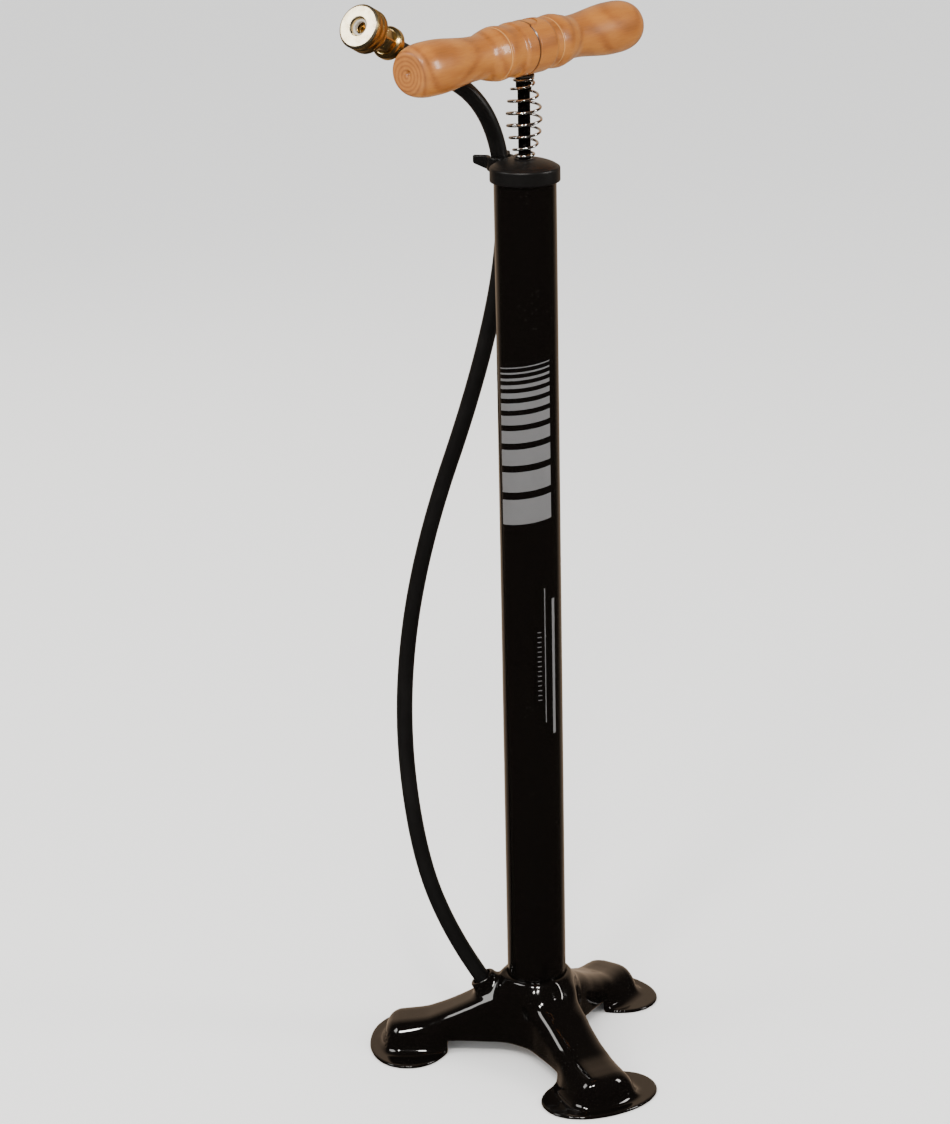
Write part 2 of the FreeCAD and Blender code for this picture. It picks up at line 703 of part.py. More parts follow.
def buildHandle():
    """A turned wooden grip across the rod, flat under its middle, with a plug over the nut's recess."""
    half = amount("handle_length") / 2
    endLength = half * handleEndShare
    steps = 28
    endSteps = 6
    distances = [(half - endLength) * index / steps for index in range(steps)]
    for index in range(endSteps + 1):
        distances.append(half - endLength * math.cos(math.pi / 2 * index / endSteps))
    side = [Vector(distance, 0, handleRadius(distance)) for distance in distances]
    mirrored = [Vector(-point.x, 0, point.z) for point in reversed(side[1:])]
    curve = Part.BSplineCurve()
    curve.interpolate(mirrored + side)
    first = mirrored[0]
    last = side[-1]
    ends = [
        Part.LineSegment(last, Vector(last.x, 0, 0)).toShape(),
        Part.LineSegment(Vector(last.x, 0, 0), Vector(first.x, 0, 0)).toShape(),
        Part.LineSegment(Vector(first.x, 0, 0), first).toShape(),
    ]
    face = Part.Face(Part.Wire([curve.toShape()] + ends))
    turnedShape = face.revolve(Vector(0, 0, 0), xAxis, 360)
    bandRadius = amount("handle_band") / 2
    flatLevel = -bandRadius + amount("handle_flat")
    flatBase = Vector(0, 0, flatLevel - bandRadius)
    flat = Part.makeCylinder(amount("seat_dia / 2 + 1"), bandRadius, flatBase, zAxis)
    holeBase = Vector(0, 0, -2 * bandRadius)
    hole = Part.makeCylinder(amount("rod_dia / 2 + slide_fit"), 4 * bandRadius, holeBase, zAxis)
    floor = bandRadius - amount("nut_sink + washer_thick")
    sink = Part.makeCylinder(amount("washer_dia / 2 + 1"), bandRadius, Vector(0, 0, floor), zAxis)
    handle = doc.addObject("Part::Feature", "handle_grip")
    handle.Label = "handle_grip"
    handle.Shape = turnedShape.cut(flat).cut(hole).cut(sink)
    handle.Placement = Placement(Vector(0, 0, amount(handleAxis)), Rotation(zAxis, amount("handle_yaw")))
    plugBase = Vector(0, 0, amount("%s - %s + 0.5" % (rodTop, handleAxis)))
    filling = Part.makeCylinder(amount("washer_dia / 2 + 1 - slide_fit"), bandRadius, plugBase, zAxis)
    plug = doc.addObject("Part::Feature", "handle_plug")
    plug.Label = "handle_plug"
    plug.Shape = turnedShape.common(filling).Solids[0]
    plug.Placement = handle.Placement


def hexNut(label, up, height="nut_height", bore="rod_dia / 2", across="nut_across"):
    body = addBody(label)
    primitive(body, "AdditivePrism", "Hexagon", Placement(), Circumradius="(%s) / 2 / cos(30)" % across,
              Height=height)
    primitive(body, "SubtractiveCylinder", "Thread", Placement(-zAxis, Rotation()), Radius=bore,
              Height=height + " + 2")
    place(body, up=up)
    doc.recompute()


def buildHandleFixings():
    floor = "(%s + handle_band / 2 - nut_sink - washer_thick)" % handleAxis
    ring("handle_washer", "rod_dia / 2 + slide_fit", "washer_dia / 2", "washer_thick", floor)
    hexNut("handle_nut", floor + " + washer_thick")


def buildPiston():
    """From below: a nut, a spreader, the leather cup, a plate and a stop nut."""
    thread = "rod_dia / 2 - 1"
    cupBottom = "(%s + nut_height / 2 + plate_thick)" % pistonFoot
    cupRadius = "(%s - slide_fit)" % barrelBore
    hexNut("piston_nut", pistonFoot, "nut_height / 2", thread, "nut_across - 1")
    ring("cup_spreader", thread + " + slide_fit", "(%s - cup_wall - 2)" % barrelBore, "plate_thick",
         "%s + nut_height / 2" % pistonFoot)
    turned("piston_cup", [
        (thread + " + slide_fit", "0"),
        (cupRadius + " - cup_wall", "0"),
        (cupRadius, "cup_wall"),
        (cupRadius, "cup_height"),
        (thread + " + slide_fit", "cup_height"),
    ], cupBottom)
    ring("piston_plate", "rod_dia / 2 + slide_fit", "(%s - 1.5)" % barrelBore, "plate_thick", plateBottom)
    hexNut("piston_stop", plateBottom + " + plate_thick", "nut_height / 2")


# --- Hose and connector ---

chuckRise = math.radians(amount("chuck_rise"))
chuckAim = Vector(-math.cos(chuckRise), 0, math.sin(chuckRise))


def besideBarrel(gap, angle, share, rise):
    """A point beside the barrel, its height a share of the way up to the cap and a rise from there."""
    return polar(amount(barrelRadius) + gap, angle, share * amount(capBottom) + rise)


chuckBack = besideBarrel(*hoseEnd)


def hosePoints():
    first = [outletMouth, outletMouth + outletAim * outletRun]
    last = [chuckBack - chuckAim * chuckRun, chuckBack]
    return first + [besideBarrel(*point) for point in hoseRoute] + last


def hosePath():
    """Straight runs joined by tangent arcs, each arc as large as its two runs allow."""
    points = hosePoints()
    edges = []
    start = points[0]
    for before, corner, after in zip(points, points[1:], points[2:]):
        into = (corner - before)
        out = (after - corner)
        turn = into.getAngle(out)
        reach = 0.45 * min(into.Length, out.Length)
        radius = reach / math.tan(turn / 2)
        print("hose bend: turn %.1f degrees, radius %.1f mm" % (math.degrees(turn), radius))
        into.normalize()
        out.normalize()
        enter = corner - into * reach
        leave = corner + out * reach
        inward = (out - into).normalize()
        middle = corner + inward * (radius / math.cos(turn / 2) - radius)
        edges.append(Part.LineSegment(start, enter).toShape())
        edges.append(Part.Arc(enter, middle, leave).toShape())
        start = leave
    edges.append(Part.LineSegment(start, points[-1]).toShape())
    return Part.Wire(edges)


def buildHose():
    path = hosePath()
    radius = amount("hose_dia / 2")
    profile = Part.Wire(Part.Circle(outletMouth, outletAim, radius).toShape())
    tube = path.makePipeShell([profile], True, True)
    expected = math.pi * radius ** 2 * path.Length
    print("hose length %.1f mm, volume %.4f of section times length" % (path.Length, tube.Volume / expected))
    hose = doc.addObject("Part::Feature", "hose")
    hose.Label = "hose"
    hose.Shape = tube


def onChuck(body, distance):
    """Put a turned piece on the connector's axis, at a distance from the hose's end."""
    body.Placement = aimed(chuckBack + chuckAim * amount(distance), chuckAim)
    doc.recompute()


def buildConnector():
    """From the hose outwards: a ferrule, a stem with flats, and a knurled ring around its thread."""
    ferrule = ring("hose_ferrule", "air_bore / 2", "ferrule_dia / 2", "ferrule_length")
    softened(ferrule, "1.5", roundEdge("ferrule_dia / 2", "ferrule_length"))
    onChuck(ferrule, "0")
    stem = turned("chuck_stem", [
        ("air_bore / 2", "0"),
        ("stem_dia / 2", "0"),
        ("stem_dia / 2", "stem_length"),
        ("thread_dia / 2", "stem_length"),
        ("thread_dia / 2", "stem_length + thread_length"),
        ("air_bore / 2", "stem_length + thread_length"),
    ])
    wide = amount("stem_dia")
    for side in (-1, 1):
        corner = Vector(-wide, side * amount("stem_flats") / 2 - (wide if side < 0 else 0), 3)
        primitive(stem, "SubtractiveBox", "Flat", Placement(corner, Rotation()), Length=str(2 * wide),
                  Width=str(wide), Height="stem_length - 6")
    onChuck(stem, "ferrule_length")
    knurled = turned("chuck_ring", [
        ("thread_dia / 2 + turn_fit", "0"),
        ("ring_dia / 2", "0"),
        ("ring_dia / 2", "ring_length"),
        ("valve_bore / 2 + bore_chamfer", "ring_length"),
        ("valve_bore / 2", "ring_length - bore_chamfer"),
        ("valve_bore / 2", "ring_length - ring_wall"),
        ("thread_dia / 2 + turn_fit", "ring_length - ring_wall"),
    ])
    softened(knurled, "1", roundEdge("ring_dia / 2", "ring_length"))
    onChuck(knurled, ringBack)
    gasket = ring("chuck_gasket", "gasket_bore / 2", "thread_dia / 2", "valve_gasket")
    onChuck(gasket, ringFront + " - ring_wall - valve_gasket - 0.05")
    thrust = ring("thrust_washer", "washer_bore / 2", "thread_dia / 2", "thrust_thick")
    onChuck(thrust, stemFront + " + turn_fit")
    pin = turned("chuck_pin", [
        ("0", "0"),
        ("air_bore / 2", "0"),
        ("air_bore / 2", "2"),
        ("pin_dia / 2", "2"),
        ("pin_dia / 2", "thread_length - 2"),
        ("0", "thread_length - 2"),
    ])
    onChuck(pin, stemFront + " - thread_length")


stemFront = "(ferrule_length + stem_length + thread_length)"
ringBack = "(ferrule_length + stem_length + turn_fit)"
ringFront = "(%s + ring_length)" % ringBack

buildTripod()
buildBarrel()
buildValvePlug()
buildValveScrew()
buildValveBall()
buildValveSpring()
buildElbow()
buildCap()
buildBush()
buildBumperSpring()
buildSeat()
buildRod()
buildHandle()
buildHandleFixings()
buildPiston()
buildHose()
buildConnector()
doc.recompute()

nodes = [
    "base_tripod", "barrel_tube", "valve_plug", "valve_screw", "valve_ball", "valve_spring", "outlet_elbow",
    "top_cap", "rod_bush", "rod_felt", "cap_gasket", "bumper_spring", "spring_seat", "piston_rod",
    "handle_grip", "handle_plug", "handle_washer", "handle_nut", "piston_nut", "cup_spreader", "piston_cup",
    "piston_plate", "piston_stop", "hose", "hose_ferrule", "chuck_stem", "chuck_ring", "chuck_gasket",
    "thrust_washer", "chuck_pin",
]
for item in doc.Objects:
    if "Invalid" in item.State or "Error" in item.State:
        raise SystemExit("%s failed: %s" % (item.Name, item.State))
for node in nodes:
    shape = doc.getObjectsByLabel(node)[0].Shape
    if shape.isNull() or not shape.isValid():
        raise SystemExit(node + " has no valid shape")
    if len(shape.Solids) != 1:
        raise SystemExit("%s has %d solids" % (node, len(shape.Solids)))

os.makedirs("parts", exist_ok=True)
for node in nodes:
    doc.getObjectsByLabel(node)[0].Shape.exportStep("parts/%s.step" % node)
print("wrote %d parts" % len(nodes))
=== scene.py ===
import bpy
import bmesh
import math
import numpy as np
from mathutils import Matrix, Vector


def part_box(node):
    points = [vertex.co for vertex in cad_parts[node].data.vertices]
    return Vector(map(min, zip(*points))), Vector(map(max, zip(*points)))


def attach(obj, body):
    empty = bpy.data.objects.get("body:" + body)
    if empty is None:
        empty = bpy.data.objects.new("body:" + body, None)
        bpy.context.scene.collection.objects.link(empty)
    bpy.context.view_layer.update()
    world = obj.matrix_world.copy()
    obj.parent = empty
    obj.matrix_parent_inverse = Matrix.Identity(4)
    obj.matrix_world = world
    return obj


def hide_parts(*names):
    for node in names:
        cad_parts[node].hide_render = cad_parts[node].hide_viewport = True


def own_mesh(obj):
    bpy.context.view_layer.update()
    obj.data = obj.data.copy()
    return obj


# A floor-standing bicycle pump: black enamelled tripod and barrel, turned wooden handle over a chromed
# bumper spring, black rubber hose and a brass screw-on connector. Lengths are in metres.

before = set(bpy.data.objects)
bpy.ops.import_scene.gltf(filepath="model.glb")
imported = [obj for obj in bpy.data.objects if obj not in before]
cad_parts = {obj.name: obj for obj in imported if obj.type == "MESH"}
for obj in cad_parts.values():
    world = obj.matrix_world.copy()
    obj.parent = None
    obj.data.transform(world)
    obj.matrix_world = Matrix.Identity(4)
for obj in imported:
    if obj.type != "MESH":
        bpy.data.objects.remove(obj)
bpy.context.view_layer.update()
mm = 0.001
legCount = 3


# Camera and cord come first.

cameraView = {
    "place": (-1.6057, -1.0226, 1.0035),
    "heading": -56.407,     # direction of the picture's right side, degrees from +X
    "pitch": 18.866,        # degrees down
    "roll": -1.208,
    "lens": 98.02,
}

hoseLook = {
    "route": [
        (-0.0165, 0.0286, 0.0425),
        (-0.0282, 0.0489, 0.0773),
        (-0.0304, 0.0765, 0.1400),
        (-0.0212, 0.0934, 0.2400),
        (-0.0086, 0.0827, 0.3480),
        (0.0097, 0.0415, 0.4770),
        (0.0200, 0.0255, 0.5720),
        (0.0090, 0.0290, 0.6500),
        (-0.0327, 0.0548, 0.6825),
        (-0.0625, 0.0548, 0.6967),
    ],
    "diameter": 0.011,
    "length": 0.720,
}


def aimCamera(values):
    heading = math.radians(values["heading"])
    pitch = math.radians(values["pitch"])
    roll = math.radians(values["roll"])
    right = Vector((math.cos(heading), math.sin(heading), 0))
    away = Vector((-math.sin(heading), math.cos(heading), 0))
    look = away * math.cos(pitch) - Vector((0, 0, math.sin(pitch)))
    up = right.cross(look)
    pictureRight = right * math.cos(roll) + up * math.sin(roll)
    pictureUp = up * math.cos(roll) - right * math.sin(roll)
    turn = Matrix((pictureRight, pictureUp, -look)).transposed().to_4x4()
    lens = bpy.data.cameras.new("pumpCamera")
    lens.lens = values["lens"]
    lens.sensor_width = 36
    lens.clip_end = 20
    camera = bpy.data.objects.new("pumpCamera", lens)
    camera.matrix_world = Matrix.Translation(values["place"]) @ turn
    bpy.context.scene.collection.objects.link(camera)
    bpy.context.scene.camera = camera


def layHose(values):
    curve = bpy.data.curves.new("rubberHose", "CURVE")
    curve.dimensions = "3D"
    curve.resolution_u = 40
    curve.bevel_resolution = 10
    curve.bevel_depth = values["diameter"] / 2
    curve.use_fill_caps = True
    line = curve.splines.new("NURBS")
    line.points.add(len(values["route"]) - 1)
    for point, place in zip(line.points, values["route"]):
        point.co = (*place, 1)
    line.order_u = 3
    line.use_endpoint_u = True
    hose = bpy.data.objects.new("rubberHose", curve)
    bpy.context.scene.collection.objects.link(hose)
    return hose


aimCamera(cameraView)
hose = layHose(hoseLook)
print("camera and hose placed")


# Shader maths: a socket that takes operators, and a finish that adds nodes.

class Wire:
    def __init__(self, finish, socket):
        self.finish = finish
        self.socket = socket

    def calc(self, operation, *others):
        return self.finish.node("ShaderNodeMath", {"operation": operation}, {
            index: value for index, value in enumerate((self, *others))})

    def __add__(self, other):
        return self.calc("ADD", other)

    __radd__ = __add__

    def __mul__(self, other):
        return self.calc("MULTIPLY", other)

    __rmul__ = __mul__

    def __sub__(self, other):
        return self.calc("SUBTRACT", other)

    def __rsub__(self, other):
        return self.finish.node("ShaderNodeMath", {"operation": "SUBTRACT"}, {0: other, 1: self})

    def __pow__(self, other):
        return self.calc("POWER", other)

    def above(self, level, soft):
        return self.finish.node("ShaderNodeMapRange", {"interpolation_type": "SMOOTHSTEP"}, {
            "Value": self, "From Min": level - soft, "From Max": level + soft}, "Result")


class Finish:
    def __init__(self, name, uniform):
        self.material = bpy.data.materials.new(name)
        self.material.use_nodes = True
        self.tree = self.material.node_tree
        self.shader = self.tree.nodes["Principled BSDF"]
        for socket, value in uniform.items():
            self.shader.inputs[socket].default_value = value

    def node(self, kind, settings=None, sockets=None, output=0):
        made = self.tree.nodes.new(kind)
        for name, value in (settings or {}).items():
            if name == "stops":
                self.setStops(made.color_ramp, value)
            else:
                setattr(made, name, value)
        for name, value in (sockets or {}).items():
            if isinstance(value, Wire):
                self.tree.links.new(value.socket, made.inputs[name])
            else:
                made.inputs[name].default_value = value
        return Wire(self, made.outputs[output])

    def setStops(self, ramp, stops):
        while len(ramp.elements) < len(stops):
            ramp.elements.new(0.5)
        for element, (place, colour) in zip(ramp.elements, stops):
            element.position = place
            element.color = (*colour, 1)

    def feed(self, socket, wire):
        self.tree.links.new(wire.socket, self.shader.inputs[socket])

    def here(self):
        return self.node("ShaderNodeTexCoord", output="Object")

    def stretched(self, scale):
        return self.node("ShaderNodeMapping", {}, {"Vector": self.here(), "Scale": scale})

    def noise(self, scale, detail=2.0, stretch=(1, 1, 1), rough=0.5):
        return self.node("ShaderNodeTexNoise", {}, {
            "Vector": self.stretched(stretch), "Scale": scale, "Detail": detail, "Roughness": rough})

    def mixed(self, amount, first, second):
        values = {"Factor": amount, 6: first, 7: second}
        values = {name: (*value, 1) if isinstance(value, tuple) else value for name, value in values.items()}
        return self.node("ShaderNodeMix", {"data_type": "RGBA"}, values, output=2)

    def bump(self, height, strength, distance):
        self.feed("Normal", self.node("ShaderNodeBump", {}, {
            "Height": height, "Strength": strength, "Distance": distance}))


enamelLook = {
    "black": (0.0020, 0.0016, 0.0014),
    "dust": (0.040, 0.037, 0.033),
    "cloudScale": 14.0,
    "dustScale": 30.0,             # patches where dust lies
    "dustLevel": (0.66, 0.02),     # middle and softness of a step
    "speckScale": 420.0,
    "speckLevel": (0.10, 0.03),
    "rough": 0.055,
    "coat": 0.55,
    "peelScale": 260.0,            # fine orange peel, about 4 mm
    "peelHeight": 0.03,
    "waveScale": 26.0,             # slow waves of pressed sheet
    "bump": (0.35, 0.0012),        # strength and distance
}


def enamelFinish(values, waves):
    made = Finish("enamel%d" % int(waves * 100), {
        "IOR": 1.52, "Specular IOR Level": 0.5, "Coat Roughness": 0.03, "Coat IOR": 1.5})
    cloud = made.noise(values["cloudScale"], 3.0)
    speck = made.node("ShaderNodeTexVoronoi", {"feature": "F1"}, {
        "Vector": made.stretched((1, 1, 1)), "Scale": values["speckScale"]}, "Distance")
    sparse = made.noise(values["dustScale"], 1.0).above(*values["dustLevel"])
    dots = (1 - speck.above(*values["speckLevel"])) * sparse
    made.feed("Base Color", made.mixed(dots * 0.6, values["black"], values["dust"]))
    made.feed("Roughness", cloud * 0.05 + dots * 0.3 + values["rough"])
    made.feed("Coat Weight", values["coat"] - dots * 0.4)
    peel = made.noise(values["peelScale"], 1.0)
    slow = made.noise(values["waveScale"], 1.0)
    made.bump(peel * values["peelHeight"] + slow * waves, *values["bump"])
    return made.material


woodLook = {
    "pale": (0.40, 0.145, 0.018),
    "warm": (0.29, 0.090, 0.010),
    "dark": (0.11, 0.032, 0.004),
    # lighter colour for the bead edges: painted highlight
    "edgeHighlight": (0.56, 0.27, 0.075),
    "stops": (0.30, 0.62, 0.98),          # where pale, warm and dark stand on the tone's scale
    "shares": (0.22, 0.40, 0.50),         # of rings, streaks and broad bands in the tone
    "ringGap": 2.6 * mm,
    "ringTaper": 0.005,
    "wander": 0.0025,
    "pith": (1.5 * mm, -2.0 * mm),
    "endGrain": (0.1080, 0.0012),         # where it starts, and how softly
    "grooveShade": -3.5 * mm,                  # the deep groove beside the rod, with painted shade inside
    "grooveShadeHalf": 0.75 * mm,
    "edges": (-31.0 * mm, 21.5 * mm),     # painted highlight lines where the beads stop
    "highlightHalf": 0.45 * mm,
    "lineSoft": 0.3 * mm,
}


def woodFinish(values):
    made = Finish("varnishedWood", {"IOR": 1.5, "Coat Roughness": 0.16, "Coat IOR": 1.5})
    split = made.node("ShaderNodeSeparateXYZ", {}, {"Vector": made.here()}).socket.node
    along = Wire(made, split.outputs["X"])
    across = Wire(made, split.outputs["Y"])
    up = Wire(made, split.outputs["Z"])
    wander = made.noise(30.0, 3.0, (0.35, 1, 1))
    offsetY = across - values["pith"][0] + (wander - 0.5) * values["wander"]
    offsetZ = up - values["pith"][1] + (made.noise(34.0, 2.0, (0.3, 1, 1)) - 0.5) * values["wander"]
    radius = (offsetY * offsetY + offsetZ * offsetZ) ** 0.5 + along * values["ringTaper"]
    ring = ((radius * (2 * math.pi / values["ringGap"])).calc("SINE") + 1) * 0.5
    streak = made.noise(1.0, 4.0, (55, 1500, 1500), 0.65)
    broad = made.noise(1.0, 3.0, (14, 150, 150))
    pore = made.noise(1.0, 1.0, (180, 3800, 3800)).above(0.70, 0.05)
    ringShare, streakShare, broadShare = values["shares"]
    tone = ring ** 2.0 * ringShare + streak * streakShare + broad * broadShare
    colours = (values["pale"], values["warm"], values["dark"])
    colour = made.node("ShaderNodeValToRGB", {"stops": list(zip(values["stops"], colours))}, {"Fac": tone})
    endGrain = along.calc("ABSOLUTE").above(*values["endGrain"])
    # Painted shade: a dark band inside the deep groove beside the rod.
    grooveShade = 1 - (along - values["grooveShade"]).calc("ABSOLUTE").above(values["grooveShadeHalf"], values["lineSoft"])
    shaded = made.mixed(endGrain * (ring * 0.14 + 0.04), colour, values["dark"])
    # Painted highlight: a lighter line at each bead edge.
    for place in values["edges"]:
        edge = 1 - (along - place).calc("ABSOLUTE").above(values["highlightHalf"], values["lineSoft"])
        shaded = made.mixed(edge * 0.6, shaded, values["edgeHighlight"])
    # Mix the painted groove shade into the wood's colour.
    shaded = made.mixed(grooveShade * 0.85, shaded, tuple(part * 0.3 for part in values["dark"]))
    made.feed("Base Color", made.mixed(pore * 0.35, shaded, values["dark"]))
    made.feed("Roughness", streak * 0.16 + 0.30 + endGrain * 0.12)
    made.feed("Coat Weight", 0.75 - endGrain * 0.45)
    made.bump(streak * 0.5 - pore * 0.6 + ring * endGrain * 0.08, 0.22, 0.0004)
    return made.material


rubberLook = {
    "clean": (0.0040, 0.0035, 0.0032),
    "bloomed": (0.011, 0.0095, 0.0085),
    "rough": 0.24,
}


def rubberFinish(values):
    made = Finish("hoseRubber", {"IOR": 1.5, "Specular IOR Level": 0.42})
    bloom = made.noise(45.0, 4.0)
    scuff = made.noise(700.0, 2.0, (1, 1, 0.12))
    made.feed("Base Color", made.mixed(bloom.above(0.6, 0.2) * 0.35, values["clean"], values["bloomed"]))
    made.feed("Roughness", bloom * 0.14 + scuff * 0.08 + values["rough"])
    made.bump(scuff * 0.6 + made.noise(1500.0, 1.0) * 0.4, 0.12, 0.0003)
    return made.material


brassLook = {
    "bright": (0.84, 0.62, 0.27),
    "dull": (0.52, 0.35, 0.12),
}

# A brighter copy of the brass for the ring's end face: painted highlight.
highlightBrassLook = {
    "bright": (0.93, 0.82, 0.58),
    "dull": (0.80, 0.64, 0.36),
}


def brassFinish(name, values, rough, turnMarks):
    made = Finish(name, {"Metallic": 1.0})
    stain = made.noise(220.0, 4.0)
    fine = made.noise(2600.0, 2.0)
    made.feed("Base Color", made.mixed(stain.above(0.55, 0.18) * 0.55, values["bright"], values["dull"]))
    made.feed("Roughness", stain * 0.16 + fine * 0.06 + rough)
    made.bump(fine * turnMarks + stain * 0.3, 0.15, 0.0002)
    return made.material


def metalFinish(name, colour, rough, grain):
    made = Finish(name, {"Metallic": 1.0})
    cloud = made.noise(160.0, 3.0)
    lines = made.noise(1.0, 2.0, grain)
    made.feed("Base Color", made.mixed(cloud * 0.25, colour, tuple(part * 0.72 for part in colour)))
    made.feed("Roughness", cloud * 0.08 + lines * 0.08 + rough)
    made.bump(lines, 0.05, 0.0001)
    return made.material


plasticLook = {
    "clean": (0.0040, 0.0035, 0.0032),
    "worn": (0.009, 0.0080, 0.0072),
    "rough": 0.26,
}


def plasticFinish(values):
    made = Finish("mouldedPlastic", {"IOR": 1.48, "Specular IOR Level": 0.45})
    grain = made.noise(1900.0, 2.0)
    cloud = made.noise(60.0, 3.0)
    made.feed("Base Color", made.mixed(cloud.above(0.6, 0.2) * 0.3, values["clean"], values["worn"]))
    made.feed("Roughness", cloud * 0.12 + grain * 0.06 + values["rough"])
    made.bump(grain, 0.10, 0.0002)
    return made.material


def plainFinish(name, colour, rough, scale):
    made = Finish(name, {})
    cloud = made.noise(scale, 4.0)
    made.feed("Base Color", made.mixed(cloud * 0.5, colour, tuple(part * 0.6 for part in colour)))
    made.feed("Roughness", cloud * 0.2 + rough)
    made.bump(cloud, 0.3, 0.0003)
    return made.material


silverLook = {
    "bright": (0.62, 0.62, 0.63),
    "dull": (0.40, 0.40, 0.41),
    "rough": 0.34,
}


def silverFinish(values):
    made = Finish("silverPrint", {"Metallic": 0.85, "Coat Roughness": 0.1})
    flake = made.noise(3200.0, 2.0)
    cloud = made.noise(90.0, 3.0)
    made.feed("Base Color", made.mixed(flake * 0.5 + cloud * 0.2, values["bright"], values["dull"]))
    made.feed("Roughness", flake * 0.12 + values["rough"])
    return made.material


finishes = {
    "enamel": enamelFinish(enamelLook, 0.10),
    "pressed": enamelFinish(enamelLook, 0.55),
    "wood": woodFinish(woodLook),
    "rubber": rubberFinish(rubberLook),
    "brass": brassFinish("turnedBrass", brassLook, 0.10, 0.4),
    "highlightBrass": brassFinish("paintedHighlightBrass", highlightBrassLook, 0.16, 0.2),
    "chrome": metalFinish("brightChrome", (0.88, 0.88, 0.87), 0.05, (300, 300, 300)),
    "steel": metalFinish("plainSteel", (0.60, 0.59, 0.57), 0.24, (900, 900, 60)),
    "blackSteel": metalFinish("blackRod", (0.028, 0.025, 0.023), 0.16, (900, 900, 25)),
    "plastic": plasticFinish(plasticLook),
    "felt": plainFinish("feltRing", (0.42, 0.40, 0.35), 0.85, 900.0),
    "leather": plainFinish("oiledLeather", (0.28, 0.15, 0.07), 0.5, 500.0),
    "silver": silverFinish(silverLook),
    "paleSeal": plainFinish("paleSeal", (0.62, 0.58, 0.50), 0.45, 700.0),
}
print("finishes made")


# Mesh helpers.

def addPiece(name, mesh, finish, body, place=Matrix.Identity(4), sharpAngle=38.0):
    mesh.polygons.foreach_set("use_smooth", [True] * len(mesh.polygons))
    if sharpAngle:
        mesh.set_sharp_from_angle(angle=math.radians(sharpAngle))
    mesh.materials.append(finishes[finish])
    piece = bpy.data.objects.new(name, mesh)
    bpy.context.scene.collection.objects.link(piece)
    piece.matrix_world = place
    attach(piece, body)
    return piece


def rounded(outline, steps=6):
    # An outline of (radius, height, bend): each corner with a bend becomes an arc.
    points = []
    count = len(outline)
    for index, (radius, height, bend) in enumerate(outline):
        corner = Vector((radius, height))
        if not bend:
            points.append(corner)
            continue
        before = Vector(outline[index - 1][:2]) - corner
        after = Vector(outline[(index + 1) % count][:2]) - corner
        half = before.angle(after) / 2
        reach = min(bend / math.tan(half), before.length * 0.49, after.length * 0.49)
        start = corner + before.normalized() * reach
        stop = corner + after.normalized() * reach
        centre = corner + (before.normalized() + after.normalized()).normalized() * reach / math.cos(half)
        first = start - centre
        last = stop - centre
        sweep = first.angle_signed(last)
        for step in range(steps + 1):
            turn = -sweep * step / steps
            cosine, sine = math.cos(turn), math.sin(turn)
            points.append(centre + Vector((first.x * cosine - first.y * sine,
                                           first.x * sine + first.y * cosine)))
    return points


def latheMesh(name, outline, segments=128, shape=None, closed=True):
    # Turn an outline about Z. shape(angle, radius, height) may change a radius.
    mesh = bpy.data.meshes.new(name)
    build = bmesh.new()
    rings = []
    for radius, height in outline:
        if radius < 1e-7:
            rings.append([build.verts.new((0, 0, height))])
            continue
        ring = []
        for step in range(segments):
            angle = 2 * math.pi * step / segments
            reach = shape(angle, radius, height) if shape else radius
            ring.append(build.verts.new((reach * math.cos(angle), reach * math.sin(angle), height)))
        rings.append(ring)
    pairs = list(zip(rings, rings[1:]))
    if closed:
        pairs.append((rings[-1], rings[0]))
    for first, second in pairs:
        if len(first) == 1 and len(second) == 1:
            continue
        for step in range(segments):
            after = (step + 1) % segments
            corners = [first[step % len(first)], first[after % len(first)],
                       second[after % len(second)], second[step % len(second)]]
            unique = list(dict.fromkeys(corners))
            build.faces.new(unique)
    bmesh.ops.recalc_face_normals(build, faces=build.faces)
    build.to_mesh(mesh)
    build.free()
    return mesh


def tubeMesh(name, points, radius, sides=14):
    # A round wire along points, with flat ends.
    mesh = bpy.data.meshes.new(name)
    build = bmesh.new()
    rings = []
    side = None
    for index, point in enumerate(points):
        ahead = points[min(index + 1, len(points) - 1)]
        behind = points[max(index - 1, 0)]
        aim = (ahead - behind).normalized()
        if side is None:
            side = aim.orthogonal().normalized()
        side = (side - aim * side.dot(aim)).normalized()
        other = aim.cross(side)
        rings.append([build.verts.new(point + side * radius * math.cos(2 * math.pi * step / sides)
                                      + other * radius * math.sin(2 * math.pi * step / sides))
                      for step in range(sides)])
    for first, second in zip(rings, rings[1:]):
        for step in range(sides):
            after = (step + 1) % sides
            build.faces.new((first[step], first[after], second[after], second[step]))
    build.faces.new(reversed(rings[0]))
    build.faces.new(rings[-1])
    bmesh.ops.recalc_face_normals(build, faces=build.faces)
    build.to_mesh(mesh)
    build.free()
    return mesh


def smoothCurve(stations):
    # A monotone cubic through (place, value) stations.
    places = np.array([station[0] for station in stations], float)
    values = np.array([station[1] for station in stations], float)
    slopes = np.diff(values) / np.diff(places)
    tangents = np.concatenate(([slopes[0]], (slopes[1:] + slopes[:-1]) / 2, [slopes[-1]]))
    flat = np.concatenate(([False], slopes[1:] * slopes[:-1] <= 0, [False]))
    tangents[flat] = 0
    limit = 3 * np.minimum(np.abs(np.append(slopes, slopes[-1])), np.abs(np.insert(slopes, 0, slopes[0])))
    tangents = np.clip(tangents, -limit, limit)

    def curve(where):
        where = np.clip(where, places[0], places[-1])
        index = np.clip(np.searchsorted(places, where) - 1, 0, len(places) - 2)
        width = places[index + 1] - places[index]
        share = (where - places[index]) / width
        rest = 1 - share
        return (values[index] * rest * rest * (1 + 2 * share)
                + values[index + 1] * share * share * (3 - 2 * share)
                + tangents[index] * width * share * rest * rest
                - tangents[index + 1] * width * share * share * rest)
    return curve


